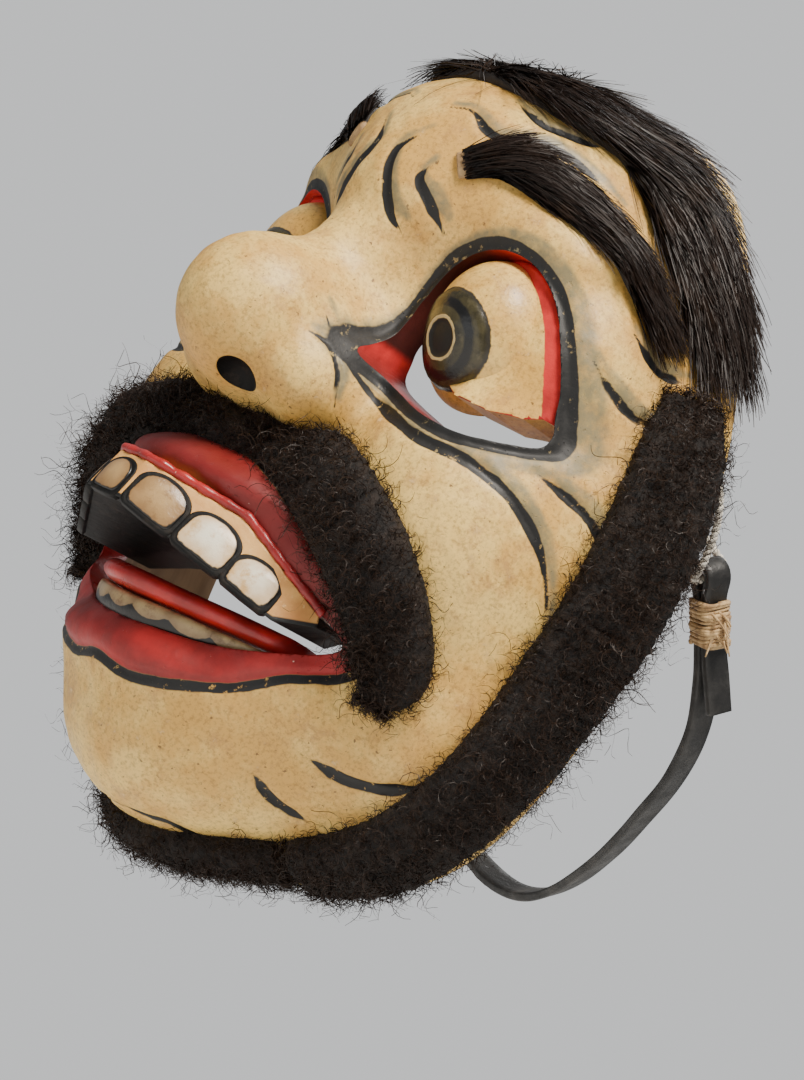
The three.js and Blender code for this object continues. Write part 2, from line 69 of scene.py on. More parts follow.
# Centre, radii and blend width of the rounded lumps, on both sides of the face.
LUMPS = [
    ([0, -2, -3], [54, 54, 54], 1),
    ([0, 0, -50], [77, 56, 85], 12),
    ([28, -10, -90], [40, 38, 38], 14),
    ([0, -36, -112], [34, 27, 27], 16),
    ([0, -36, 15], [36, 29, 25], 12),
    ([38, -32, -54], [28, 26, 33], 12),
    ([0, -42, -77], [33, 27, 23], 14),
    ([0, -50, 5], [19, 17, 15], 8),
    ([31, -38, 7], [21, 14, 9], 11),
    ([37, -28, -13], [25, 20, 22], 10),
    ([0, -54, -15], [12, 16, 14], 8),
    ([0, -56, -35], [22, 18, 16], 9),
    ([0, -73, -34], [17, 19, 17.5], 9),
    ([16, -62, -42], [9, 13, 9.5], 7),
    ([0, -54, -69], [31, 22, 8], 8),
    ([27, -45, -76], [18, 14, 8.5], 10),
    ([0, -48, -108], [31, 21, 10], 8),
    ([27, -40, -99], [18, 14, 8.5], 10),
]
HOLLOW_LUMPS = LUMPS[:4]

# Outlines in x and z: the eye socket, the see-through slit under the ball, and the open mouth.
SOCKET = [(22, -32), (20.3, -25), (20.4, -15), (24.5, -5), (33, 0.8), (42, 1), (50, -5),
          (56, -14.5), (59, -25), (60.5, -33), (53, -38), (43, -38.3), (33, -36), (26, -34)]
SLIT = [(10, -42), (10, -14), (26, -18), (30, -26), (42, -31), (50, -31), (55, -29), (57, -27),
        (66, -27), (66, -42)]
MOUTH = [(-46.5, -88), (-40, -83.5), (-31, -77.5), (-22, -74), (-8, -72.5), (8, -72.5), (22, -74),
         (31, -77.5), (40, -83.5), (46.5, -88), (41, -93), (31, -98), (16, -102), (0, -103.5),
         (-16, -102), (-31, -98), (-41, -93)]
SOCKET_FLOOR, LID_DEPTH = 4.5, 1.2  # depth of the recess round the ball, by the nose and away from it
EYE_AT, EYE_SIZE, EYE_DOWN = np.array([34, -41.5, -16]), np.array([14.5, 14, 17.5]), math.radians(23)
IRIS, PUPIL = 10.9, 4.0
TIE_HOLE, TIE_RADIUS = np.array([69, -6, -18.0]), 2
NOSTRIL_AT, NOSTRIL_SIZE = np.array([9.5, -78, -51]), np.array([4.5, 6, 6])

# The painted and carved lines of one side: points, half width, and whether a grey band runs beside it.
# The points were read off the photograph, carried onto the lumps above and rounded to a millimetre.
LINES = [
    ([(8, -65, 18), (4, -67, 12), (6, -67, 5), (10, -64, -2), (13, -60, -5)], 1.3, 1),
    ([(14, -64, 11), (13, -64, 7), (17, -61, 3), (21, -58, 0)], 1.3, 1),
    ([(7, -62, 25), (12, -60.5, 26.5), (18, -59, 23), (22, -57, 23), (27, -51, 27), (34, -41, 26),
      (39, -33, 23)], 1.2, 1),
    ([(14, -53, 33), (23, -50, 31), (27, -43, 32), (29, -36, 34)], 1.2, 1),
    ([(54, -33, -15), (59, -29, -17), (63, -23, -18), (66, -17, -16)], 1.1, 1),
    ([(55, -28, -5), (60, -21, -7), (62, -13, -4)], 1.1, 1),
    ([(13, -59, -31), (20, -58, -36), (27, -56, -39), (36, -57, -41), (46, -56, -43), (56, -50, -43),
      (64, -42, -45), (69, -31, -52), (70, -25, -59), (71, -21, -67)], 1.4, 1),
    ([(63, -38, -38), (67, -31, -39), (70, -24, -41), (73, -18, -47)], 1.2, 1),
    ([(18, -72, -34), (20, -65, -35), (23, -62, -39), (24, -60, -45)], 0.8, 1),
    ([(35, -43, -119), (37, -35, -122), (42, -27, -123)], 1.3, 0),
    ([(43, -40, -111), (50, -33, -111), (58, -27, -109), (64, -22, -104)], 1.4, 0),
    ([(0, -43, -138), (8, -41, -138), (14, -38, -137), (17, -23, -135)], 1.3, 0),
]
# The outer edge of both lips, one side, in x and z.
LIPS = [(0, -61.5), (14, -62.5), (28, -67.5), (38, -74), (46, -80), (50.5, -87.5), (48, -92.5),
        (40, -98.5), (26, -108.5), (11, -113), (0, -112)]
LID_LINE = 2.5  # width of the black line round the eye socket
SHADE_WIDE = 1.4  # half width of the olive bands beside the lines
PAINT_REACH = 8.0  # how far from a painted edge the distance to it is kept
GROOVE, TOOL_MARK, GOUGE = 0.85, 0.10, 0.35  # depth of the lines, the outer tool marks and the inner gouges
RINGS, SPOKES, INNER_RINGS = 260, 720, 36  # grid of the face, and the coarser one of its hollow
OUTLINE_POINTS = 160

# ---------------------------------------------------------------- curves and the carved form


def unit(v):
    return v / np.maximum(np.linalg.norm(v, axis=-1, keepdims=True), 1e-9)


def smooth_curve(points, count, closed=False, power=0.5):
    """Centripetal Catmull-Rom through the points (power 0.5), as count points evenly along it."""
    p = np.array(points, float)
    p = np.vstack([p[-1:], p, p[:2]]) if closed else np.vstack([2 * p[0] - p[1], p, 2 * p[-1] - p[-2]])
    out = []
    for a, b, c, d in zip(p[:-3], p[1:-2], p[2:-1], p[3:]):
        t1 = max(np.linalg.norm(b[:3] - a[:3]) ** power, 1e-4)
        t2 = t1 + max(np.linalg.norm(c[:3] - b[:3]) ** power, 1e-4)
        t3 = t2 + max(np.linalg.norm(d[:3] - c[:3]) ** power, 1e-4)
        t = np.linspace(t1, t2, 24, endpoint=False)[:, None]
        ab = (t1 - t) / t1 * a + t / t1 * b
        bc = (t2 - t) / (t2 - t1) * b + (t - t1) / (t2 - t1) * c
        cd = (t3 - t) / (t3 - t2) * c + (t - t2) / (t3 - t2) * d
        abc = (t2 - t) / t2 * ab + t / t2 * bc
        bcd = (t3 - t) / (t3 - t1) * bc + (t - t1) / (t3 - t1) * cd
        out.append((t2 - t) / (t2 - t1) * abc + (t - t1) / (t2 - t1) * bcd)
    out = np.vstack(out + [p[1:2] if closed else p[-2:-1]])
    along = np.concatenate([[0], np.cumsum(np.linalg.norm(np.diff(out[:, :3], axis=0), axis=1))])
    at = np.linspace(0, along[-1], count + 1)[:-1] if closed else np.linspace(0, along[-1], count)
    return np.column_stack([np.interp(at, along, out[:, i]) for i in range(out.shape[1])])


def carved_distance(points, lumps=LUMPS):
    q = np.abs(points) * [1, 0, 0] + points * [0, 1, 1]
    d = np.full(len(q), 1e3)
    for at, size, blend in lumps:
        v = q - np.array(at, float)
        size = np.array(size, float)
        k0 = np.linalg.norm(v / size, axis=1)
        k1 = np.linalg.norm(v / size**2, axis=1)
        e = k0 * (k0 - 1) / np.maximum(k1, 1e-9)
        h = np.maximum(blend - np.abs(d - e), 0) / blend
        d = np.minimum(d, e) - h * h * blend / 4
    return d


def reach(directions, lumps=LUMPS, steps=34):
    r = np.full(len(directions), float(OUTSIDE))
    for _ in range(steps):
        r -= carved_distance(CENTRE + directions * r[:, None], lumps) * 0.8
    return r


def on_face(points, lift=0.0):
    """The points of the carved surface on the rays through these points, and the way it faces there."""
    d = unit(np.asarray(points, float) - CENTRE)
    p = CENTRE + d * (reach(d) + lift)[:, None]
    step = 0.4
    normal = [carved_distance(p + step * axis) - carved_distance(p - step * axis) for axis in np.eye(3)]
    return p, unit(np.column_stack(normal))


def nearest_on(points, line):
    """Distance to a chain of straight pieces, and how far along it that is, 0 to 1."""
    best, where = np.full(len(points), 1e3), np.zeros(len(points))
    for i, (a, b) in enumerate(zip(line[:-1], line[1:])):
        t = np.clip((points - a) @ (b - a) / max((b - a) @ (b - a), 1e-9), 0, 1)
        gap = np.linalg.norm(points - a - t[:, None] * (b - a), axis=1)
        where = np.where(gap < best, (i + t) / (len(line) - 1), where)
        best = np.minimum(best, gap)
    return best, where


def edge_distance(points, outline):
    """Distance to a closed outline."""
    return nearest_on(points, np.vstack([outline, outline[:1]]))[0]


def inside(points, outline):
    """Whether 2-D points are inside a closed outline."""
    found = np.zeros(len(points), bool)
    for a, b in zip(outline, np.roll(outline, -1, axis=0)):
        crosses = (a[1] > points[:, 1]) != (b[1] > points[:, 1])
        x = a[0] + (points[:, 1] - a[1]) * (b[0] - a[0]) / (b[1] - a[1] if b[1] != a[1] else 1e-9)
        found ^= crosses & (points[:, 0] < x)
    return found


# ---------------------------------------------------------------- meshes


def make_mesh(name, points, faces, materials, smooth=True, attributes=None, slots=None):
    """One object of points in millimetres."""
    mesh = bpy.data.meshes.new(name)
    mesh.from_pydata((np.asarray(points) * MM).tolist(), [], faces)
    add_fields(mesh, attributes or {})
    for m in materials:
        mesh.materials.append(m)
    if slots is not None:
        mesh.polygons.foreach_set("material_index", np.asarray(slots, np.int32))
    mesh.polygons.foreach_set("use_smooth", np.full(len(mesh.polygons), smooth))
    mesh.update()
    piece = bpy.data.objects.new(name, mesh)
    bpy.context.scene.collection.objects.link(piece)
    return piece


def points_of(mesh):
    """A mesh's points in millimetres."""
    flat = np.empty(len(mesh.vertices) * 3, np.float32)
    mesh.vertices.foreach_get("co", flat)
    return flat.reshape(-1, 3).astype(float) / MM


def add_fields(mesh, fields):
    for name, values in fields.items():
        layer = mesh.attributes.new(name, "FLOAT", "POINT")
        layer.data.foreach_set("value", np.asarray(values, np.float32))


def outward(piece):
    bm = bmesh.new()
    bm.from_mesh(piece.data)
    bmesh.ops.recalc_face_normals(bm, faces=bm.faces)
    bm.to_mesh(piece.data)
    bm.free()
    return piece


def grid_faces(rows, columns):
    """Quads between rings of points, each ring closed."""
    i, j = np.meshgrid(np.arange(rows - 1), np.arange(columns), indexing="ij")
    k = (j + 1) % columns
    quads = np.stack([i * columns + j, i * columns + k, (i + 1) * columns + k, (i + 1) * columns + j], -1)
    return quads.reshape(-1, 4)


def skin(rings, caps=True):
    """Closed mesh data over rings of equal length."""
    rings = np.asarray(rings)
    rows, columns = rings.shape[:2]
    points = rings.reshape(-1, 3)
    faces = grid_faces(rows, columns).tolist()
    if caps:
        faces += [list(range(columns))[::-1], list(range((rows - 1) * columns, rows * columns))]
    return points, faces


def tube(points, radius, sides=10, closed=False):
    """Mesh data of a round cord."""
    p = np.asarray(points, float)
    along = unit(np.roll(p, -1, 0) - np.roll(p, 1, 0)) if closed else unit(np.gradient(p, axis=0))
    normal = np.zeros_like(p)
    n = np.cross(along[0], [0.3, 0.9, 0.2])
    for i, t in enumerate(along):
        n = unit(n - t * (n @ t))
        normal[i] = n
    other = np.cross(along, normal)
    a = np.linspace(0, 2 * math.pi, sides, endpoint=False)
    radius = np.broadcast_to(np.asarray(radius, float), (len(p),))[:, None, None]
    ring = np.cos(a)[None, :, None] * normal[:, None] + np.sin(a)[None, :, None] * other[:, None]
    rings = p[:, None] + radius * ring
    if closed:
        rings = np.concatenate([rings, rings[:1]])
    return skin(rings, caps=not closed)


def joined(parts):
    """Mesh data of several bodies as one."""
    points, faces, start = [], [], 0
    for p, f in parts:
        points.append(p)
        faces += [[start + i for i in face] for face in f]
        start += len(p)
    return np.vstack(points), faces


def mirror(part):
    points, faces = part
    return points * [-1, 1, 1], [list(face)[::-1] for face in faces]


def on_side(sign, part):
    """Mesh data of the left side as it is, or mirrored for the right."""
    return part if sign > 0 else mirror(part)


def prism(outline, smooth=True, front=-130.0, back=30.0):
    """Mesh data of an x-z outline run from front to back along Y."""
    edge = smooth_curve(outline, OUTLINE_POINTS, closed=True) if smooth else np.array(outline, float)
    return skin([np.column_stack([edge[:, 0], np.full(len(edge), y), edge[:, 1]]) for y in (front, back)])


def ball_points(rows, columns, start, size):
    """Rings of an ellipsoid from front to back along Y, the first one start radians from its pole."""
    a = np.linspace(start, math.pi - 0.02, rows)[:, None]
    b = np.linspace(0, 2 * math.pi, columns, endpoint=False)[None]
    return np.stack([np.sin(a) * np.cos(b), -np.cos(a) + 0 * b, np.sin(a) * np.sin(b)], -1) * size


def tilted(p, angle):
    """Points turned about X, so that what faces -Y looks down."""
    y, z = p[..., 1].copy(), p[..., 2].copy()
    p[..., 1] = y * math.cos(angle) - z * math.sin(angle)
    p[..., 2] = y * math.sin(angle) + z * math.cos(angle)
    return p


def ellipsoid(at, size, tilt=0.0):
    return skin(tilted(ball_points(40, 56, 0.02, size), tilt) + at)


def cut(piece, part, material=None):
    """Takes a body away from the piece; the new walls get the material."""
    cutter = outward(make_mesh("cutter", part[0], part[1], [material] if material else [], smooth=False))
    change = piece.modifiers.new("cut", "BOOLEAN")
    change.object = cutter
    change.operation = "DIFFERENCE"
    change.solver = "MANIFOLD"
    if material:
        change.material_mode = "TRANSFER"
    graph = bpy.context.evaluated_depsgraph_get()
    old = piece.data
    piece.data = bpy.data.meshes.new_from_object(piece.evaluated_get(graph))
    piece.modifiers.clear()
    bpy.data.meshes.remove(old)
    bpy.data.objects.remove(cutter)


def install(piece, body, slot, *nodes):
    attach(piece, body)
    if nodes:
        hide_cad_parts(*nodes)
    return piece


# ---------------------------------------------------------------- materials


class Paint:
    """A Principled material and short ways to add nodes to it."""

    def __init__(self, name, roughness=0.5, **sockets):
        self.material = bpy.data.materials.new(name)
        self.material.use_nodes = True
        self.tree = self.material.node_tree
        self.shader = self.tree.nodes["Principled BSDF"]
        self.shader.inputs["Roughness"].default_value = roughness
        for socket, value in sockets.items():
            self.shader.inputs[socket.replace("_", " ")].default_value = value
        self.place = self.tree.nodes.new("ShaderNodeTexCoord").outputs["Object"]

    def node(self, kind, inputs=None, **settings):
        made = self.tree.nodes.new(kind)
        for key, value in settings.items():
            setattr(made, key, value)
        for key, value in (inputs or {}).items():
            if isinstance(value, bpy.types.NodeSocket):
                self.tree.links.new(value, made.inputs[key])
            else:
                made.inputs[key].default_value = value
        return made

    def noise(self, scale, detail=4.0, rough=0.6, stretch=None):
        place = self.place
        if stretch:
            place = self.node("ShaderNodeMapping", {"Vector": place, "Scale": stretch}).outputs[0]
        inputs = {"Vector": place, "Scale": scale, "Detail": detail, "Roughness": rough}
        return self.node("ShaderNodeTexNoise", inputs).outputs["Fac"]

    def value(self, name):
        return self.node("ShaderNodeAttribute", attribute_name=name).outputs["Fac"]

    def axis(self, index):
        """The object's own x, y or z, in metres."""
        return self.node("ShaderNodeSeparateXYZ", {0: self.place}).outputs[index]

    def wobble(self, scale, detail, size):
        """A noise about nought that makes a painted edge uneven."""
        return self.math("MULTIPLY", self.math("SUBTRACT", self.noise(scale, detail), 0.5), size)

    def mottle(self, color, other, scale, detail, low, high, rough=0.6, most=1.0):
        """The color, with up to this much of the other where a noise rises from low to high."""
        return self.mix(self.step(self.noise(scale, detail, rough), low, high, (0.0, most)), color, other)

    def step(self, value, low, high, to=(0.0, 1.0)):
        inputs = {"Value": value, "From Min": low, "From Max": high, "To Min": to[0], "To Max": to[1]}
        return self.node("ShaderNodeMapRange", inputs, interpolation_type="SMOOTHSTEP").outputs[0]

    def math(self, operation, a, b):
        return self.node("ShaderNodeMath", {0: a, 1: b}, operation=operation).outputs[0]

    def mix(self, factor, a, b):
        made = self.node("ShaderNodeMix", {0: factor}, data_type="RGBA")
        for key, value in ((6, a), (7, b)):
            if isinstance(value, bpy.types.NodeSocket):
                self.tree.links.new(value, made.inputs[key])
            else:
                made.inputs[key].default_value = (*value, 1)
        return made.outputs[2]

    def finish(self, color=None, roughness=None, height=None, depth=0.3):
        """depth is how high the bumps stand, in millimetres."""
        if color is not None:
            self.tree.links.new(color, self.shader.inputs["Base Color"])
        if roughness is not None:
            self.tree.links.new(roughness, self.shader.inputs["Roughness"])
        if height is not None:
            bump = self.node("ShaderNodeBump", {"Height": height, "Strength": 1.0, "Distance": depth * MM})
            self.tree.links.new(bump.outputs[0], self.shader.inputs["Normal"])
        return self.material


INK = (0.004, 0.004, 0.004)
OCHRE, PALE_OCHRE, BROWN = (0.68, 0.385, 0.082), (0.88, 0.60, 0.175), (0.26, 0.12, 0.024)
OLIVE = (0.20, 0.175, 0.095)
RED, DARK_RED = (0.42, 0.018, 0.017), (0.20, 0.012, 0.011)
CHIPPED = (0.80, 0.60, 0.46)  # bare ground where red paint has chipped off


def aged_ochre(p):
    """Ochre paint, mottled brown, with fine dark specks and rubbed pale patches."""
    color = p.mottle(PALE_OCHRE, OCHRE, 42, 8, 0.40, 0.60, 0.68)
    color = p.mottle(color, (0.47, 0.245, 0.075), 130, 9, 0.50, 0.68, 0.78, 0.72)
    color = p.mottle(color, (0.52, 0.27, 0.075), 20, 5, 0.54, 0.72, 0.6, 0.42)
    color = p.mottle(color, BROWN, 1100, 5, 0.45, 0.68, 0.7, 0.5)
    color = p.mottle(color, (0.13, 0.06, 0.02), 800, 3, 0.675, 0.71, 0.55, 0.8)
    return p.mottle(color, (0.90, 0.67, 0.33), 260, 7, 0.62, 0.72, 0.7, 0.5)


def face_paint():
    """Ochre, olive beside the lines, red lips with a black edge, and black lines."""
    p = Paint("face_paint", 0.5, Coat_Weight=0.05, Coat_Roughness=0.35)
    wobble = p.wobble(160, 3, 1.6)
    grey = p.math("ADD", p.value("shade"), wobble)
    grey_band = p.math("MULTIPLY", p.step(grey, PAINT_REACH - 1.0, PAINT_REACH + 0.5, (0.0, 0.9)),
                       p.step(p.noise(300, 6, 0.65), 0.34, 0.60, (0.6, 1.0)))
    color = p.mix(grey_band, aged_ochre(p), OLIVE)
    lips = p.math("ADD", p.value("lips"), p.math("MULTIPLY", wobble, 0.5))
    red = p.mottle(RED, DARK_RED, 70, 6, 0.35, 0.7)
    red = p.mix(p.step(p.axis(2), -0.0930, -0.0840), red, DARK_RED)
    red = p.mottle(red, (0.86, 0.72, 0.60), 210, 7, 0.66, 0.69, 0.75)
    color = p.mix(p.step(lips, PAINT_REACH - 0.15, PAINT_REACH + 0.15), color, red)
    lip_edge = p.math("MULTIPLY", p.step(lips, PAINT_REACH - 2.3, PAINT_REACH - 2.0),
                      p.step(lips, PAINT_REACH - 0.1, PAINT_REACH + 0.15, (1.0, 0.0)))
    ink = p.math("ADD", p.value("ink"), p.math("MULTIPLY", wobble, 0.55))
    line = p.math("MAXIMUM", p.step(ink, PAINT_REACH - 0.12, PAINT_REACH + 0.15), lip_edge)
    worn = p.step(p.noise(420, 6, 0.7), 0.60, 0.66, (1.0, 0.35))
    color = p.mix(p.math("MULTIPLY", line, worn), color, INK)
    rough = p.math("ADD", p.step(p.noise(60, 5), 0.3, 0.7, (0.44, 0.62)), p.math("MULTIPLY", line, 0.04))
    bumps = p.math("ADD", p.math("MULTIPLY", p.noise(140, 6), 0.8), p.math("MULTIPLY", p.noise(700, 4), 0.2))
    pits = p.step(p.noise(900, 3, 0.55), 0.66, 0.72)
    return p.finish(color, rough, p.math("SUBTRACT", bumps, p.math("MULTIPLY", pits, 0.25)), 0.35)


def shaded_raw_wood():
    p = Paint("shaded_raw_wood", 0.72)
    rings = p.noise(90, 6, 0.6, stretch=(1.0, 1.0, 0.12))
    # bare wood's brown, darkened further as painted shade for the hollow back and the holes
    color = p.mix(p.step(rings, 0.35, 0.65), (0.27, 0.165, 0.085), (0.16, 0.09, 0.045))
    color = p.mottle(color, (0.10, 0.06, 0.03), 30, 5, 0.5, 0.7, most=0.6)
    gouges = p.node("ShaderNodeTexVoronoi", {"Vector": p.place, "Scale": 95.0}).outputs["Distance"]
    return p.finish(color, None, p.math("ADD", gouges, p.math("MULTIPLY", rings, 0.4)), 0.6)


def red_paint(name, near, far, chips):
    p = Paint(name, 0.34, Coat_Weight=0.2, Coat_Roughness=0.25)
    color = p.mottle(near, far, 110, 6, 0.35, 0.68)
    color = p.mottle(color, CHIPPED, 260, 7, chips, chips + 0.03, 0.75)
    return p.finish(color, p.step(p.noise(150, 4), 0.3, 0.7, (0.26, 0.44)), p.noise(300, 5), 0.25)


def socket_paint():
    """Red beside the outline, the ball's ochre further in, and painted shade by the nose and at the foot."""
    p = Paint("socket_paint", 0.6, Specular_IOR_Level=0.25)
    red = p.mottle((0.62, 0.030, 0.028), (0.36, 0.016, 0.014), 110, 6, 0.35, 0.68)
    red = p.mottle(red, CHIPPED, 300, 7, 0.68, 0.71, 0.75)
    height, across = p.axis(2), p.math("ABSOLUTE", p.axis(0), 0.0)
    # painted shadow: near black on the upper wall by the nose, where the nose bridge's shadow falls
    shaded = p.math("MULTIPLY", p.step(height, -0.0285, -0.026, (0.0, 0.93)),
                    p.step(across, 0.029, 0.036, (1.0, 0.0)))
    red = p.mix(shaded, red, (0.016, 0.006, 0.004))
    # painted shade: darker red low on the socket wall, at its foot
    red = p.mix(p.step(height, -0.034, -0.028, (0.8, 0.0)), red, (0.10, 0.012, 0.010))
    inner = p.step(p.math("ADD", p.value("rim"), p.wobble(200, 4, 1.2)), 3.2, 3.5)
    return p.finish(p.mix(inner, red, aged_ochre(p)), None, p.noise(300, 5), 0.25)


def slit_paint():
    """The ball's ochre, with patches of dark brown, on the walls of the slit under it."""
    p = Paint("slit_paint", 0.5)
    brown = p.step(p.noise(180, 5), 0.3, 0.7, (0.2, 0.5))
    return p.finish(p.mix(brown, aged_ochre(p), (0.16, 0.09, 0.035)), None, p.noise(300, 5), 0.25)


def black_paint():
    p = Paint("black_paint", 0.6, Specular_IOR_Level=0.25)
    return p.finish(p.mottle(INK, (0.022, 0.016, 0.011), 300, 5, 0.5, 0.75), None, p.noise(350, 5), 0.25)


def eye_paint():
    """Ochre ball; gaze is the distance from the middle of its olive iris and black pupil."""
    p = Paint("eye_paint", 0.3, Coat_Weight=0.06, Coat_Roughness=0.2)
    gaze = p.math("ADD", p.value("gaze"), p.wobble(420, 4, 0.9))
    iris = p.mottle((0.020, 0.017, 0.007), (0.060, 0.050, 0.021), 240, 6, 0.35, 0.65)
    iris = p.mottle(iris, (0.16, 0.135, 0.08), 520, 6, 0.56, 0.68, 0.7, 0.2)
    dark_ring = p.math("MULTIPLY", p.step(gaze, 6.6, 7.2), p.step(gaze, 8.4, 9.2, (1.0, 0.0)))
    iris = p.mix(dark_ring, iris, INK)
    iris = p.mix(p.step(gaze, IRIS - 0.6, IRIS - 0.2), iris, (0.03, 0.026, 0.018))
    color = p.mix(p.step(gaze, IRIS, IRIS + 0.2, (1.0, 0.0)), aged_ochre(p), iris)
    ring = p.math("MULTIPLY", p.step(gaze, PUPIL + 0.1, PUPIL + 0.3),
                  p.step(gaze, PUPIL + 0.8, PUPIL + 1.0, (1.0, 0.0)))
    color = p.mix(p.math("MULTIPLY", ring, p.step(p.noise(230, 4), 0.36, 0.46)), color, (0.62, 0.47, 0.22))
    color = p.mix(p.step(gaze, PUPIL, PUPIL + 0.2, (1.0, 0.0)), color, (0.006, 0.006, 0.006))
    rough = p.math("MAXIMUM", p.step(gaze, IRIS - 0.1, IRIS + 0.3, (0.27, 0.38)),
                   p.step(gaze, PUPIL - 0.1, PUPIL + 0.3, (0.7, 0.0)))
    return p.finish(color, rough, p.noise(260, 5), 0.22)


def gum_paint():
    p = Paint("gum_paint", 0.5, Coat_Weight=0.08, Coat_Roughness=0.3)
    color = p.mottle((0.80, 0.44, 0.13), (0.58, 0.25, 0.065), 95, 6, 0.35, 0.7)
    color = p.mottle(color, (0.86, 0.62, 0.30), 300, 6, 0.60, 0.68, 0.7, 0.8)
    line = p.step(p.value("ink"), PAINT_REACH - 0.2, PAINT_REACH + 0.2)
    return p.finish(p.mix(line, color, INK), None, p.noise(220, 6), 0.4)


def tooth_paint(name, light, dark, amount):
    """Stained towards its painted edge; rim is the distance inside that edge."""
    p = Paint(name, 0.33, Coat_Weight=0.2, Coat_Roughness=0.25)
    rim = p.value("rim")
    stain = p.step(p.math("ADD", rim, p.math("MULTIPLY", p.noise(240, 5), -3.0)), -2.2, 1.6, (1.0, 0.0))
    color = p.mix(p.math("MULTIPLY", stain, amount), light, dark)
    color = p.mottle(color, dark, 170, 8, 0.50, 0.66, 0.75, amount)
    color = p.mix(p.step(p.math("ADD", rim, p.wobble(350, 3, 0.6)), 0.15, 0.35, (1.0, 0.0)), color, INK)
    return p.finish(color, None, p.noise(260, 6), 0.3)


def hair_strands(name, root, tip, roughness):
    p = Paint(name, roughness, Specular_IOR_Level=0.2)
    color = p.mix(p.value("tip"), root, tip)
    return p.finish(p.mottle(color, (0.034, 0.018, 0.010), 120, 3, 0.45, 0.7, most=0.5))


def hide_skin():
    """Tan where the hide is bare and black where it is hairy."""
    p = Paint("hide_skin", 0.6)
    color = p.mottle((0.52, 0.35, 0.17), (0.30, 0.18, 0.08), 160, 6, 0.35, 0.65)
    dark = p.step(p.value("hairy"), 0.35, 0.6)
    return p.finish(p.mix(dark, color, (0.014, 0.010, 0.008)), None, p.noise(500, 5), 0.4)


def pelt_skin():
    p = Paint("pelt_skin", 0.85)
    return p.finish(p.mottle((0.006, 0.004, 0.0035), (0.020, 0.012, 0.008), 300, 5, 0.4, 0.7), None,
                    p.noise(600, 5), 1.0)


def strap_rubber():
    p = Paint("strap_rubber", 0.5)
    color = p.mottle((0.012, 0.012, 0.012), (0.050, 0.048, 0.046), 140, 6, 0.4, 0.75)
    return p.finish(color, p.step(p.noise(220, 5), 0.3, 0.7, (0.42, 0.62)), p.noise(900, 5, 0.6), 0.15)


def fibre(name, light, dark):
    p = Paint(name, 0.8, Sheen_Weight=0.2)
    color = p.mix(p.step(p.noise(700, 4, stretch=(1.0, 1.0, 0.3)), 0.35, 0.65), light, dark)
    return p.finish(color, None, p.noise(1500, 4), 0.2)


FACE, SHADED_WOOD, BLACK = face_paint(), shaded_raw_wood(), black_paint()
WALL_RED = socket_paint()
SLIT_WALL = slit_paint()
TONGUE_RED = red_paint("tongue_red", (0.55, 0.022, 0.020), (0.32, 0.014, 0.012), 0.72)
SEAM_RED = red_paint("seam_red", (0.42, 0.022, 0.022), (0.20, 0.010, 0.010), 0.64)
EYE, GUM = eye_paint(), gum_paint()
TOOTH = tooth_paint("tooth_white", (0.93, 0.86, 0.68), (0.62, 0.36, 0.12), 0.85)
OLD_TOOTH = tooth_paint("tooth_brown", (0.46, 0.29, 0.12), (0.20, 0.10, 0.035), 0.9)
LOWER_TOOTH = tooth_paint("tooth_lower", (0.52, 0.38, 0.18), (0.20, 0.11, 0.05), 0.8)
HIDE, PELT = hide_skin(), pelt_skin()
CURLS = hair_strands("curls", (0.005, 0.003, 0.002), (0.026, 0.014, 0.009), 0.45)
STRAIGHT = hair_strands("straight_hair", (0.004, 0.0027, 0.002), (0.015, 0.008, 0.0055), 0.42)
RUBBER = strap_rubber()
COTTON = fibre("cotton", (0.74, 0.70, 0.62), (0.46, 0.42, 0.35))
RAFFIA = fibre("raffia", (0.56, 0.38, 0.18), (0.30, 0.17, 0.07))

# ---------------------------------------------------------------- camera, light and floor

AIM = np.array([-9.2, -3.2, -56.1])
RIGHT = unit(np.array([0.5736, 0.657, 0.4894]))
DOWN = np.array([0.2392, 0.4378, -0.868])
DOWN = unit(DOWN - RIGHT * (DOWN @ RIGHT))
TOWARDS = np.cross(RIGHT, -DOWN)
STAND_OFF = 1000
SENSOR, LENS = 36.0, 201.9
FLOOR_DOWN, FLOOR_RADIUS, FLOOR_SIDES = -300, 1000, 64
SKY_LIGHT, SKY_SEEN = 0.36, 0.85  # the studio's pale wall is brighter to the eye than as a light


def add_camera():
    camera = bpy.data.objects.new("camera", bpy.data.cameras.new("camera"))
    camera.data.sensor_fit = "HORIZONTAL"
    camera.data.sensor_width = SENSOR
    camera.data.lens = LENS
    camera.data.clip_start = 0.05
    camera.data.clip_end = 50
    place = Matrix(np.column_stack([RIGHT, -DOWN, TOWARDS]).tolist()).to_4x4()
    place.translation = Vector((AIM + TOWARDS * STAND_OFF) * MM)
    camera.matrix_world = place
    bpy.context.scene.collection.objects.link(camera)
    bpy.context.scene.camera = camera


def add_light(name, offset, energy, size, color=(1, 1, 1)):
    light = bpy.data.lights.new(name, "AREA")
    light.energy, light.size, light.color = energy, size, color
    lamp = bpy.data.objects.new(name, light)
    at = Vector(AIM * MM) + Vector(offset)
    lamp.location = at
    lamp.rotation_euler = (Vector(AIM * MM) - at).to_track_quat("-Z", "Y").to_euler()
    bpy.context.scene.collection.objects.link(lamp)


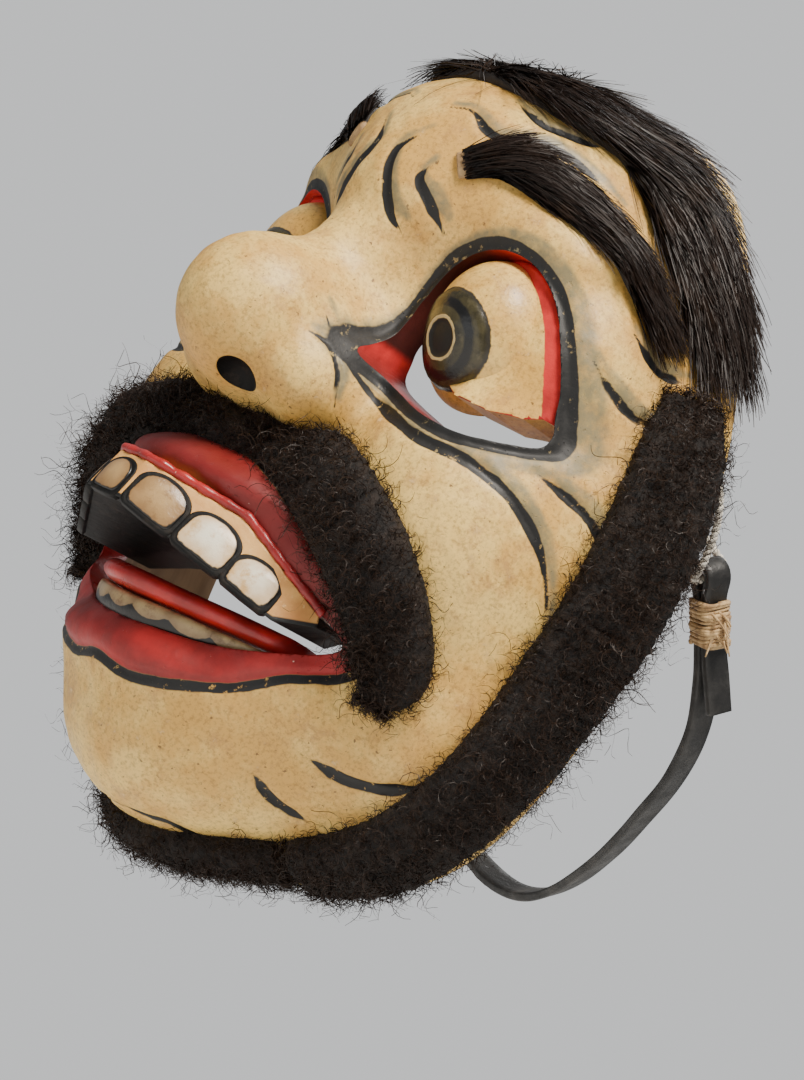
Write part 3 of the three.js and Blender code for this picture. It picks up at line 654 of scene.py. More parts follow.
def add_stage():
    turn = np.linspace(0, 2 * math.pi, FLOOR_SIDES, endpoint=False)
    points = [(math.cos(a) * FLOOR_RADIUS, math.sin(a) * FLOOR_RADIUS, FLOOR_DOWN) for a in turn]
    p = Paint("floor_paint", 0.8)
    color = p.mottle((0.80, 0.80, 0.79), (0.76, 0.76, 0.75), 9, 3, 0.3, 0.7)
    floor = make_mesh("floor", points, [list(range(FLOOR_SIDES))], [p.finish(color)])
    world = bpy.data.worlds.new("studio")
    bpy.context.scene.world = world
    world.use_nodes = True
    tree = world.node_tree
    sky = tree.nodes["Background"]
    sky.inputs["Color"].default_value = (0.86, 0.87, 0.88, 1)
    seen = tree.nodes.new("ShaderNodeMapRange")
    seen.inputs["To Min"].default_value, seen.inputs["To Max"].default_value = SKY_LIGHT, SKY_SEEN
    tree.links.new(tree.nodes.new("ShaderNodeLightPath").outputs["Is Camera Ray"], seen.inputs["Value"])
    tree.links.new(seen.outputs[0], sky.inputs["Strength"])
    up, right, near = (Vector(v) for v in (-DOWN, RIGHT, TOWARDS))
    add_light("key", up * 0.9 + right * 0.55 + near * 0.6, 28, 0.4, (1, 0.93, 0.84))
    add_light("fill", right * -0.9 + near * 0.9 + up * 0.1, 3.2, 0.9, (0.95, 0.97, 1))
    add_light("back", up * 0.5 - near * 0.9 + right * 0.6, 6, 0.6)


# ---------------------------------------------------------------- head strap, its ties and windings

HANG = math.radians(51.7)
DOWN_HANG = np.array([0, math.cos(HANG), -math.sin(HANG)])
ACROSS_HANG = np.array([0, math.sin(HANG), math.cos(HANG)])
STRAP_END_X, STRAP_WIDTH, STRAP_THICK, STRING_DROP, FOLD_RADIUS = 73, 6, 2, 23, 2.6
LAYER = 1.3
BINDING_TOP, BINDING_END, STRAP_TAIL = 28, 39, 14
BOW = [(71.5, 47), (69, 58), (61.5, 71), (50, 84), (36, 98), (20, 110.5), (9, 116), (0, 117.5)]
TIE_ROUTE = [(69, 0, 0), (74.4, 0.8, 0), (76.4, 5, 0), (77, 13, -2), (76, 20, -5), (73.5, 23, -4.8),
             (73, 23.6, 0), (72, 23, 4.8), (68.5, 20, 5), (64, 13, 2), (62.2, 6, 0), (63.6, 0.8, 0)]
PLY_TURNS, LOOSE_FIBRES = 28, 26  # of a cotton tie
STRANDS, TURNS, SPLIT_ENDS = 3, 6, 9  # of a raffia winding


def hung(x, s, w=0.0):
    """x across, s down the hang and w square to the strap's plane."""
    return np.array([x, TIE_HOLE[1], TIE_HOLE[2]]) + s * DOWN_HANG + w * ACROSS_HANG


def strap_centre():
    turns = [math.radians(a) for a in (180, 135, 90, 45, 0)]
    arc = [(STRAP_END_X - FOLD_RADIUS * math.cos(a), STRING_DROP - FOLD_RADIUS * math.sin(a)) for a in turns]
    half = [(STRAP_END_X + LAYER + 1.6, BINDING_END + STRAP_TAIL),
            (STRAP_END_X + LAYER + 0.8, BINDING_END + STRAP_TAIL / 2), (STRAP_END_X + LAYER, BINDING_END),
            (STRAP_END_X + LAYER, BINDING_TOP), *arc, (STRAP_END_X - LAYER, BINDING_TOP),
            (STRAP_END_X - LAYER, BINDING_END), *BOW]
    route = half + [(-x, s) for x, s in half[::-1][1:]]
    return smooth_curve([hung(x, s) for x, s in route], 420)


def add_strap():
    middle = strap_centre()
    along = unit(np.gradient(middle, axis=0))
    through = unit(np.cross(along, ACROSS_HANG))
    wear = 1 + 0.05 * np.sin(np.arange(len(middle)) * 0.21) * np.sin(np.arange(len(middle)) * 0.063)
    outline = [(-1, -0.6), (-0.9, -1), (-0.45, -1), (0, -0.97), (0.45, -1), (0.9, -1), (1, -0.6),
               (1, 0.6), (0.9, 1), (0.45, 1), (0, 0.97), (-0.45, 1), (-0.9, 1), (-1, 0.6)]
    rings = [[m + ACROSS_HANG * u * STRAP_WIDTH / 2 * w + t * v * STRAP_THICK / 2 for u, v in outline]
             for m, t, w in zip(middle, through, wear)]
    strap = outward(make_mesh("rubber_strap", *skin(rings), [RUBBER]))
    install(strap, "strap", "strap_rubber", "head_strap")
    for side, sign in SIDES:
        add_string(side, sign)
        add_binding(side, sign)


def add_string(side, sign):
    """Two plies of cotton laid round each other, with a few loose fibres."""
    path = smooth_curve([hung(*p) for p in TIE_ROUTE], 300, closed=True)
    along = unit(np.roll(path, -1, 0) - np.roll(path, 1, 0))
    u = unit(np.cross(along, [0.2, 0.3, 0.9]))
    v = np.cross(along, u)
    parts = []
    for phase in (0, math.pi):
        a = phase + np.arange(len(path)) * 2 * math.pi * PLY_TURNS / len(path)
        ply = path + 0.42 * (np.cos(a)[:, None] * u + np.sin(a)[:, None] * v)
        parts.append(tube(ply, 0.5, 8, closed=True))
    for i in rng.integers(0, len(path), LOOSE_FIBRES):
        out = unit(rng.normal(size=3))
        fray = path[i] + np.outer(np.linspace(0.3, 1, 6), out) * rng.uniform(1.0, 2.2)
        parts.append(tube(fray + rng.normal(size=(6, 3)) * 0.12, 0.06, 4))
    tie = outward(make_mesh("cotton_tie" + side, *on_side(sign, joined(parts)), [COTTON]))
    return install(tie, "strap", "cotton", "tie_string" + side)


def add_binding(side, sign):
    """Raffia wound round the folded strap, with short split ends."""
    half_x, half_w = LAYER + STRAP_THICK / 2 + 0.55, STRAP_WIDTH / 2 + 0.55
    parts = []
    for strand in range(STRANDS):
        a = np.linspace(0, 2 * math.pi * TURNS, TURNS * 26) + strand * 2.1
        s = np.linspace(BINDING_TOP + 0.8, BINDING_END - 0.8, len(a)) + 0.5 * np.sin(a * 0.5 + strand)
        c, d = np.cos(a), np.sin(a)
        x = half_x * np.sign(c) * np.abs(c) ** 0.5
        w = half_w * np.sign(d) * np.abs(d) ** 0.5
        path = np.array([hung(STRAP_END_X + p, q, r) for p, q, r in zip(x * (1 + 0.05 * strand), s, w)])
        parts.append(tube(path, 0.5 + 0.12 * np.sin(a * 1.7), 7))
    for _ in range(SPLIT_ENDS):
        start = hung(STRAP_END_X + half_x, BINDING_TOP + 2 + rng.uniform(0, 6), rng.uniform(-2.6, 2.6))
        way = unit(np.array([0.5, 0.35, -0.7]) + rng.normal(size=3) * 0.45)
        end = np.linspace(0, 1, 8)[:, None]
        path = start + way * end * rng.uniform(3.5, 6) + np.array([0, 0, -1.6]) * end**2
        parts.append(tube(path, np.linspace(0.42, 0.16, 8), 5))
    winding = outward(make_mesh("raffia_winding" + side, *on_side(sign, joined(parts)), [RAFFIA]))
    return install(winding, "strap", "raffia", "strap_binding" + side)


# ---------------------------------------------------------------- the carved face


def directions(rings, spokes):
    """Ways from straight ahead, -Y, out to the open back's plane."""
    ahead = np.maximum(np.linspace(0, math.pi / 2, rings + 1)[:, None], 1e-3)
    turn = np.linspace(0, 2 * math.pi, spokes, endpoint=False)[None]
    parts = [np.sin(ahead) * np.cos(turn), -np.cos(ahead) + 0 * turn, np.sin(ahead) * np.sin(turn)]
    return np.stack(parts, -1)


def mirrored_reach(way, lumps):
    """reach() worked out for one side only; the spokes run evenly round from +X."""
    rings, spokes = way.shape[:2]
    quarter = spokes // 4
    half = (np.arange(-quarter, quarter + 1)) % spokes
    r = reach(way[:, half].reshape(-1, 3), lumps).reshape(rings, -1)
    whole = np.zeros((rings, spokes))
    whole[:, half] = r
    other = (spokes // 2 - np.arange(-quarter, quarter + 1)) % spokes
    whole[:, other] = r
    return whole


def painted_fields(points):
    """Nearness to the lines, grey bands and lips, PAINT_REACH at a painted edge, and the carving's depth."""
    near = points.copy()
    near[:, 0] = np.abs(near[:, 0])
    ink, shade, depth = (np.zeros(len(points)) for _ in range(3))
    for line, half_width, shaded in LINES:
        chain, _ = on_face(smooth_curve(line, 10 * len(line)))
        close = np.flatnonzero(np.all((near > chain.min(0) - 9) & (near < chain.max(0) + 9), axis=1))
        if not len(close):
            continue
        gap, where = nearest_on(near[close], chain)
        taper = np.clip(4 * np.minimum(where, 1 - where), 0.25, 1)
        ink[close] = np.maximum(ink[close], PAINT_REACH - gap + half_width * taper)
        if shaded:
            shifted, _ = on_face(chain + [0, 0, half_width + SHADE_WIDE * 0.8])
            beside = nearest_on(near[close], shifted)[0]
            shade[close] = np.maximum(shade[close], PAINT_REACH - beside + SHADE_WIDE * taper)
        depth[close] = np.maximum(depth[close], taper * np.exp(-((gap / (half_width * 0.95)) ** 2)))
    rim = smooth_curve(SOCKET, OUTLINE_POINTS, closed=True)
    eye = np.flatnonzero((near[:, 1] < -20) & (np.abs(near[:, 2] + 18) < 40) & (near[:, 0] > 8))
    flat = near[eye][:, [0, 2]]
    gap = np.where(inside(flat, rim), 0, edge_distance(flat, rim))
    ink[eye] = np.maximum(ink[eye], PAINT_REACH + LID_LINE - gap)
    beside = LID_LINE + SHADE_WIDE * np.interp(flat[:, 0], [22, 44], [0.2, 2.0])
    shade[eye] = np.maximum(shade[eye], PAINT_REACH + beside - gap)
    depth[eye] = np.maximum(depth[eye], 0.9 * np.exp(-(((gap - LID_LINE * 0.6) / 1.1) ** 2)))
    lips = smooth_curve(LIPS + [(-x, z) for x, z in LIPS[::-1][1:-1]], OUTLINE_POINTS, closed=True)
    flat = points[:, [0, 2]]
    ahead = points[:, 1] < -25
    gap = edge_distance(flat, lips)
    signed = np.where(inside(flat, lips), gap, -gap)
    lip_field = np.where(ahead, np.clip(PAINT_REACH + signed, 0, 3 * PAINT_REACH), 0)
    ridge = np.where(ahead, np.exp(-(((signed + 0.4) / 1.1) ** 2)), 0)
    return np.clip(ink, 0, 99), np.clip(shade, 0, 99), lip_field, np.maximum(depth, ridge)


def add_face():
    way = directions(RINGS, SPOKES)
    far = mirrored_reach(way, LUMPS)
    outer = (CENTRE + way * far[..., None]).reshape(-1, 3)
    depth = painted_fields(outer)[3]
    x, y, z = outer.T
    tool = np.sin(x * 0.9 + 2 * np.sin(z * 0.31)) * np.sin(z * 0.7 + y * 0.4)
    outer = outer - way.reshape(-1, 3) * (GROOVE * depth + TOOL_MARK * tool)[:, None]
    outer[-SPOKES:, 1] = 0
    inner_way = directions(INNER_RINGS, SPOKES)
    inner_far = np.minimum(mirrored_reach(inner_way, HOLLOW_LUMPS) - WALL + 1,
                           mirrored_reach(inner_way, LUMPS) - WALL)
    inner = CENTRE + inner_way * inner_far[..., None]
    gouge = GOUGE * np.sin(inner[..., 2] * 0.8) * np.sin(inner[..., 0] * 0.9)
    gouge[INNER_RINGS - 1:] = 0
    inner = inner + inner_way * gouge[..., None]
    inner[-1, :, 1] = 0
    points = np.vstack([outer, inner[::-1].reshape(-1, 3)])
    rows = RINGS + 1 + INNER_RINGS + 1
    faces = grid_faces(rows, SPOKES).tolist()
    slots = [0] * (RINGS * SPOKES) + [1] * ((rows - 1 - RINGS) * SPOKES)
    faces += [list(range(SPOKES))[::-1], list(range((rows - 1) * SPOKES, rows * SPOKES))]
    slots += [0, 1]
    face = outward(make_mesh("carved_face", points, faces, [FACE, SHADED_WOOD, WALL_RED, BLACK], slots=slots))
    cut(face, prism(MOUTH), TONGUE_RED)
    a = np.linspace(50, 85, 8)
    tie_hole = tube(np.column_stack([a, a * 0 + TIE_HOLE[1], a * 0 + TIE_HOLE[2]]), TIE_RADIUS, 24)
    for _, sign in SIDES:
        cut(face, on_side(sign, prism(SOCKET)), WALL_RED)
        cut(face, on_side(sign, ellipsoid(EYE_AT, EYE_SIZE + 0.3, tilt=EYE_DOWN)), WALL_RED)
        cut(face, on_side(sign, ellipsoid(NOSTRIL_AT, NOSTRIL_SIZE)), BLACK)
        cut(face, on_side(sign, tie_hole), SHADED_WOOD)
    add_fields(face.data, dict(zip(("ink", "shade", "lips"), painted_fields(points_of(face.data)))))
    install(face, "mask", "painted_wood", "mask_shell")


# ---------------------------------------------------------------- the eyes

WEB_RINGS, WEB_POINTS = 22, 120  # grid of the recess round the ball


def add_eyes():
    p = ball_points(90, 96, 0.006, EYE_SIZE)
    gaze = np.hypot(p[..., 0], p[..., 2])
    front = p[..., 1] < 0
    raised = 0.9 * np.clip((IRIS - gaze) / 0.9, 0, 1) - 0.9 * np.clip((PUPIL + 0.5 - gaze) / 1.2, 0, 1)
    p[..., 1] -= np.where(front, raised, 0)
    gaze = np.where(front, gaze, 99).ravel()
    points, faces = skin(tilted(p, EYE_DOWN) + EYE_AT)
    points, sunk = flush_with_hollow(points)
    wooden = [int(all(sunk[i] for i in face)) for face in faces]
    web, web_rim = eye_web()
    bare = [int(min(face) > WEB_RINGS * WEB_POINTS) for face in web[1]]
    for side, sign in SIDES:
        eye = outward(make_mesh("eyeball" + side, *on_side(sign, (points, faces)), [EYE, SHADED_WOOD],
                                attributes={"gaze": gaze}, slots=wooden))
        install(eye, "mask", "eye_paint", "eye" + side)
        recess = outward(make_mesh("eye_recess" + side, *on_side(sign, web), [WALL_RED, SHADED_WOOD],
                                   attributes={"rim": web_rim}, slots=bare))
        cut(recess, on_side(sign, prism(SLIT, smooth=False)), SLIT_WALL)
        cut(recess, ellipsoid(EYE_AT * [sign, 1, 1], EYE_SIZE - 0.5, tilt=EYE_DOWN), WALL_RED)
        install(recess, "mask", "red_paint", "eye" + side)


def eye_web():
    """The sunk floor of the socket round the ball."""
    outline = smooth_curve(SOCKET, WEB_POINTS, closed=True)
    middle = outline.mean(0)
    rings, rims = [], []
    size = np.linalg.norm(outline - middle, axis=1)
    for k in np.linspace(1, 0.06, WEB_RINGS):
        rims.append((1 - k) * size)
        flat = middle + (outline - middle) * (k * 0.992)
        p = np.column_stack([flat[:, 0], np.full(len(flat), -110.0), flat[:, 1]])
        floor_depth = np.interp(flat[:, 0], [28, 42], [SOCKET_FLOOR, LID_DEPTH])
        for _ in range(60):
            p[:, 1] += (carved_distance(p) + floor_depth) * 0.7
        rings.append(p)
    behind = [CENTRE + (ring - CENTRE) * 0.3 for ring in rings]
    back = [flush_with_hollow(ring)[0] for ring in behind]
    rim = np.concatenate([np.concatenate(rims[::-1]), np.zeros(len(outline) * len(back))])
    return skin(rings[::-1] + back), rim


def flush_with_hollow(points):
    """Points inside the mask's open back are moved out to its carved wall, and which ones those were."""
    way = unit(points - CENTRE)
    wall = np.minimum(reach(way, HOLLOW_LUMPS) - WALL + 1, reach(way) - WALL) + 0.15
    far = np.linalg.norm(points - CENTRE, axis=1)
    return CENTRE + way * np.maximum(far, wall)[:, None], far < wall


# ---------------------------------------------------------------- gum, teeth and tongue

GUM_BACK = -47
GUM_EDGE = [(6, -86, -83.2), (22, -73, -86.9), (38, -60, -90.6)]
GUM_LIP = [(5, -83.4, -73.6), (23, -67.6, -74.6), (37, -58.5, -81.8)]
GUM_ENDS = [(43.5, -52.5, -87.3), (43, -53, -85.2)]  # where the gum runs out at the corner of the mouth
TOOTH_THICK, TOOTH_SUNK = 2, 1.4
TEETH = [("upper_front_tooth", 8.6, 9.5, 0, OLD_TOOTH, "tooth_brown"),
         ("upper_incisor", 12.2, 11, 0.17, OLD_TOOTH, "tooth_brown"),
         ("upper_canine", 12.4, 11.2, 0.5, TOOTH, "tooth_white"),
         ("upper_premolar", 11.4, 9.6, 0.81, TOOTH, "tooth_white")]


def both_sides(stations):
    return [(-p[0], *p[1:]) for p in stations[::-1]] + list(stations)


def add_gum():
    edge, lip = (np.array(both_sides([*s, end]), float) for s, end in zip((GUM_EDGE, GUM_LIP), GUM_ENDS))
    at = np.linspace(0, 7, 127)
    edge, lip = (np.column_stack([np.interp(at, range(8), s[:, i]) for i in range(3)]) for s in (edge, lip))
    rings = []
    for e, l in zip(edge, lip):
        back_low = np.array([l[0] * 0.93, GUM_BACK + 6, e[2] + 1.2])
        back_high = np.array([l[0] * 0.93, GUM_BACK, l[2]])
        face = [e + (l - e) * t for t in np.linspace(0, 1, 22)]
        top = [l + (back_high - l) * t for t in (0.05, 0.3, 0.6, 0.9, 1)]
        under = [back_low + (e - back_low) * t for t in (0, 0.3, 0.6, 0.9, 0.98)]
        rings.append(face + top + under)
    points, faces = skin(rings)
    ink = PAINT_REACH + 0.9 - nearest_on(points, edge)[0]
    columns = len(rings[0])
    # painted shade: black behind and underneath, from the last point of the top, and at the two ends
    slots = [int(face[0] % columns >= 26 or len(face) > 4) for face in faces]
    gum = outward(make_mesh("gum", points, faces, [GUM, BLACK], attributes={"ink": ink}, slots=slots))
    install(gum, "mask", "gum_paint", "upper_gum")
    bead = smooth_curve(lip + np.array([0, 0.6, 1.0]), 150)
    bead = bead + rng.normal(size=bead.shape) * 0.05
    thick = 1.05 + 0.12 * np.sin(np.arange(len(bead)) * 0.9)
    install(outward(make_mesh("lip_seam", *tube(bead, thick, 14), [SEAM_RED])), "mask", "red_paint")


def tooth_outline(wide, tall, grow=0.0):
    half, top = wide / 2 + grow, tall + grow
    shoulder = top * 0.5
    t = np.linspace(0, 1, 26)[:, None]
    corners = [np.array(p, float) for p in ((half, shoulder), (half, top), (-half, top), (-half, shoulder))]
    arch = ((1 - t) ** 3 * corners[0] + 3 * (1 - t) ** 2 * t * corners[1] + 3 * (1 - t) * t**2 * corners[2]
            + t**3 * corners[3])
    low = 0.45 - grow
    foot = [(-half, low + 1.6), (-half * 0.93, low + 0.5), (-half * 0.8, low), (0, low - 0.1),
            (half * 0.8, low), (half * 0.93, low + 0.5), (half, low + 1.6)]
    sides = [(-half, low + 1.6 + (shoulder - low - 1.6) * s) for s in (0.75, 0.5, 0.25)]
    return np.vstack([arch, sides, foot, [(-x, y) for x, y in sides[::-1]]])


def plate(outline, thick, dome):
    """A rounded plate on z = 0: rings shrink to the middle over a domed face."""
    middle = outline.mean(0)
    rings, rims = [], []
    size = np.linalg.norm(outline - middle, axis=1).min()
    for k in (0.96, 1.0):
        rings.append(np.column_stack([middle + (outline - middle) * k, np.full(len(outline), -thick)]))
        rims.append(np.zeros(len(outline)))
    for k in (1.0, 0.985, 0.95, 0.9, 0.84, 0.76, 0.66, 0.54, 0.4, 0.24, 0.08):
        z = dome * (1 - k**2) - (0.35 if k == 1.0 else 0.1 if k == 0.985 else 0)
        rings.append(np.column_stack([middle + (outline - middle) * k, np.full(len(outline), z)]))
        rims.append(np.full(len(outline), (1 - k) * size))
    points, faces = skin(rings)
    return points, faces, np.concatenate(rims)


def add_teeth():
    start, end, lip = (np.array(p, float) for p in (GUM_EDGE[0], GUM_EDGE[2], GUM_LIP[1]))
    along = unit(end - start)
    long = np.linalg.norm(end - start)
    out = unit(np.cross(along, lip - start))
    side_axes = np.array([along, np.cross(out, along), out])
    front_axes = np.array([(1, 0, 0), unit(np.array([0, 2.6, 9.6])), unit(np.array([0, -9.6, 2.6]))])
    for i, (name, wide, tall, part_way, finish, slot) in enumerate(TEETH):
        axes = side_axes if i else front_axes
        base = start if i else np.array([0, -86, -83.2])
        proud = TOOTH_THICK - TOOTH_SUNK
        points, faces, rim = plate(tooth_outline(wide, tall), TOOTH_THICK, 0.7)
        back_points, back_faces, _ = plate(tooth_outline(wide, tall, 0.9), TOOTH_THICK - 0.2, 0.1)
        points = base + (points + [part_way * long, 0, proud]) @ axes
        back_points = base + (back_points + [part_way * long, 0, proud - 0.25]) @ axes
        for side, sign in SIDES if i else MIDDLE:
            tooth = outward(make_mesh(f"{name}{side}_face", *on_side(sign, (points, faces)), [finish],
                                      attributes={"rim": rim}))
            install(tooth, "mask", slot, name + side)
            line = on_side(sign, (back_points, back_faces))
            install(outward(make_mesh(f"{name}{side}_outline", *line, [BLACK])), "mask", "gum_paint")


def mouth_strip(name, stations, outline, material, slot, node, **fields):
    """A body across the mouth: one side's stations are x and what outline turns into y and z."""
    rings = [[(x * s, y, z) for y, z in outline(*rest)] for s, x, rest in
             [(-1, x, r) for x, *r in stations[::-1]] + [(1, x, r) for x, *r in stations]]
    rings = np.array(rings, float)
    rings = np.stack([smooth_curve(rings[:, j], 64) for j in range(rings.shape[1])], 1)
    dense = np.stack([smooth_curve(ring, 40, closed=True) for ring in rings])
    points, faces = skin(dense)
    attributes = {key: make(points) for key, make in fields.items()}
    piece = outward(make_mesh(name, points, faces, [material], attributes=attributes))
    return install(piece, "mask", slot, node)


def lower_rim(points):
    """Distance inside the painted edge of each lower tooth."""
    across = np.abs(((points[:, 0] + 4.5) % 9) - 4.5)
    top = np.interp(np.abs(points[:, 0]), [5, 14, 24, 30], [-98.9, -98.3, -97.4, -96.8])
    scallop = top - 3.4 + 1.6 * (across / 4.5) ** 2
    return np.minimum(4.5 - across, points[:, 2] - scallop)


def add_mouth():
    add_gum()
    add_teeth()
    mouth_strip("lower_teeth_strip", [(5, -67, -98.9, -103.6), (14, -63.5, -98.3, -102.6),
                                      (24, -57, -97.4, -100.6), (30, -52.5, -96.8, -98.4)],
                lambda y, top, low: [(y, low), (y - 1, top), (y + 4, top + 0.3), (y + 8, low)],
                LOWER_TOOTH, "tooth_brown", "lower_teeth", rim=lower_rim)
    mouth_strip("tongue_strip", [(4, -72, -93), (14, -66.5, -92.5), (24, -59, -91.6), (33, -52, -91)],
                lambda y, top: [(y + 1, top - 4), (y, top - 2.4), (y + 1.5, top - 0.5), (y + 6, top),
                                (y + 14, top - 0.6), (y + 22, top - 3), (y + 22, top - 5), (y + 7, top - 5)],
                TONGUE_RED, "red_paint", "tongue")


# ---------------------------------------------------------------- hides, pelts and hair

# Stations along each strip: x, y, z, width and height.
HAIRLINE = [(61, -7, 2, 10, 3), (55, -11, 15, 14, 4), (44, -18, 29, 18, 5), (27, -27, 41, 22, 6),
            (14, -41, 44, 25, 6), (0, -44, 45, 26, 6)]
BROW = [(19, -62, 14, 6, 3.4), (25, -57, 18, 8, 4), (33, -50, 18, 10, 4.5), (43, -40, 14, 11, 4.5),
        (51, -30, 8, 10, 4), (57, -21, 0, 7, 3)]
MOUSTACHE = [(54, -38, -94, 11, 6), (55, -39, -87, 15, 8), (51, -45, -76, 17, 9), (41, -52, -65, 18, 9),
             (28, -60, -59, 17, 8.5), (14, -66, -57, 16, 8), (0, -66, -57.5, 15, 8)]
SIDEBURN = [(65, -12, -9, 15, 6), (69, -12, -20, 20, 9), (72, -12, -38, 22, 10), (73, -12, -60, 22, 10),
            (70, -13, -82, 21, 10), (62, -14, -102, 20, 9), (50, -15, -118, 19, 9), (36, -17, -130, 17, 8)]
CHIN_BEARD = [(30, -19, -132, 15, 7), (14, -26, -137, 17, 8), (0, -28, -138, 18, 8)]


class Strip:
    """A strip laid on the face: its middle line, the ways along, aside and out, and its width and height."""

    def __init__(self, stations, across=False, count=160, round_ends=0.0):
        if across:
            stations = stations + [(-s[0], *s[1:]) for s in stations[::-1][1:]]
        line = smooth_curve(stations, count)
        self.wide, self.high = line[:, 3], line[:, 4]
        if round_ends:
            from_end = np.minimum(np.arange(count), np.arange(count)[::-1]) / (round_ends * count)
            rounding = np.sqrt(np.clip(1 - (1 - np.minimum(from_end, 1)) ** 2, 0, 1))
            self.wide = self.wide * (0.55 + 0.45 * rounding)
        self.foot, self.out = on_face(line[:, :3])
        self.along = unit(np.gradient(self.foot, axis=0))
        self.aside = unit(np.cross(self.along, self.out))
        self.count = count

    def point(self, i, across, lift):
        """Points at the stations i (fractions), across in -1..1 and lifted by a share of the height there,
        the three ways and that height."""
        at = np.arange(self.count)
        wide, high = (np.interp(i, at, v) for v in (self.wide, self.high))
        foot, along, aside, out = (np.stack([np.interp(i, at, column) for column in v.T], 1)
                                   for v in (self.foot, self.along, self.aside, self.out))
        place = foot + aside * (across * wide / 2)[:, None] + out * (lift * high)[:, None]
        return place, unit(along), unit(aside), unit(out), high

    def base(self, fill, lumpy):
        """Mesh data of the skin and of the matted part of the hair."""
        half = [(0.2, 0, 1), (0.5, 0, 0.95), (0.78, 0, 0.8), (0.95, 0, 0.5), (0.98, 0, 0.2), (0.92, -SINK, 0)]
        profile = both_sides(half)
        rings = []
        for i in range(self.count):
            jag = lumpy * rng.normal(size=len(profile)) * 0.02
            rings.append([self.foot[i] + self.aside[i] * u * self.wide[i] / 2 * (1 + jag[k])
                          + self.out[i] * (sunk + share * self.high[i] * fill * (1 + 2 * jag[k]))
                          for k, (u, sunk, share) in enumerate(profile)])
        return skin(rings)


def ribbons(paths, width, facing, tip_width=0.35):
    """Mesh data of hairs: paths (hairs, points, 3), each a flat tapering ribbon turned by facing."""
    n, k = paths.shape[:2]
    along = unit(np.gradient(paths, axis=1))
    side = unit(np.cross(along, facing[:, None]))
    taper = np.linspace(1, tip_width, k)[None, :, None] * width[:, None, None] / 2
    points = np.stack([paths - side * taper, paths + side * taper], 2).reshape(-1, 3)
    i, j = np.meshgrid(np.arange(n), np.arange(k - 1), indexing="ij")
    a = (i * k + j) * 2
    faces = np.stack([a, a + 1, a + 3, a + 2], -1).reshape(-1, 4).tolist()
    tip = np.broadcast_to(np.linspace(0, 1, k)[None, :, None], (n, k, 2)).ravel()
    return points, faces, tip


def curls(strip, hairs, reach_out, radius=(0.5, 1.1), points=14):
    """Tight curls that stand out of a pelt."""
    last = strip.count - 1
    i = np.clip(rng.uniform(-0.03 * last, 1.03 * last, hairs), 0, last)
    across = np.clip(rng.uniform(-1.05, 1.05, hairs), -1, 1)
    lift = 0.55 * np.sqrt(np.clip(1 - across**2, 0, 1))
    root, along, aside, out, high = strip.point(i, across * 0.9, lift)
    past_end = (i >= last).astype(float) - (i <= 0).astype(float)
    way = unit(out * np.sqrt(np.clip(1.05 - across**2, 0.05, 1))[:, None] + aside * (across * 0.9)[:, None]
               + along * (past_end * 1.1)[:, None] + rng.normal(size=(hairs, 3)) * 0.45)
    e1 = unit(np.cross(way, along + rng.normal(size=(hairs, 3)) * 0.5))
    e2 = np.cross(way, e1)
    s = np.linspace(0, 1, points)[None, :, None]
    turn = rng.uniform(0, 2 * math.pi, hairs)[:, None, None] + s * rng.uniform(5, 13, hairs)[:, None, None]
    r = (rng.uniform(*radius, hairs)[:, None, None]) * np.minimum(1, s * 3)
    long = (reach_out * high * rng.uniform(0.45, 1.0, hairs))[:, None, None]
    coil = r * (np.cos(turn) * e1[:, None] + np.sin(turn) * e2[:, None])
    paths = root[:, None] + way[:, None] * long * s + coil
    return ribbons(paths, rng.uniform(0.16, 0.30, hairs), unit(rng.normal(size=(hairs, 3))))


def straight_hair(strip, hairs, long, comb, stand, points=7, lean=0.0, spread=0.12, bare=(0.0, 0.0)):
    """Straight hairs combed along the strip, or from its middle apart, and lying close to the hide."""
    i = rng.uniform(bare[0], 1 - bare[1], hairs) * (strip.count - 1)
    across = 0.98 * np.sin(rng.uniform(-math.pi / 2, math.pi / 2, hairs))
    lift = rng.uniform(0.15, 0.75, hairs) * np.sqrt(np.clip(1.05 - across**2, 0.1, 1))
    root, along, aside, out, _ = strip.point(i, across, lift)
    middle = (strip.count - 1) / 2
    towards = np.clip((i - middle) / (0.12 * middle), -1, 1) if comb == "apart" else np.ones(hairs)
    tuft = np.sin(i * 0.83)[:, None] * 0.07 + np.sin(i * 0.31 + across * 4)[:, None] * 0.06
    way = unit(along * towards[:, None] + aside * (lean + tuft) + out * stand
               + rng.normal(size=(hairs, 3)) * spread)
    s = np.linspace(0, 1, points)[None, :, None]
    size = (rng.uniform(*long, hairs))[:, None, None]
    droop = -out[:, None] * (s**2) * size * (stand * 0.75)
    wave = np.cross(way, out)[:, None] * np.sin(s * 3 + rng.uniform(0, 6, hairs)[:, None, None]) * 0.35
    paths = root[:, None] + way[:, None] * s * size + droop + wave
    shape = paths.shape
    surface, normal = on_face(paths.reshape(-1, 3))
    above = np.einsum("ij,ij->i", paths.reshape(-1, 3) - surface, normal)
    low = np.interp(above, [-20, 0.6, 3.5, 30], [0.6, 0.6, 3.5, 8])
    paths = (paths.reshape(-1, 3) + normal * (low - above)[:, None]).reshape(shape)
    return ribbons(paths, rng.uniform(0.22, 0.38, hairs), unit(out + rng.normal(size=(hairs, 3)) * 0.5))


def keep_in_box(points):
    """Hair never stands further out than the CAD box allows."""
    low, high = (np.array(v) / MM for v in cad_box)
    room = (high - low) * 0.03 + 8
    return np.clip(points, low - room, high + room)


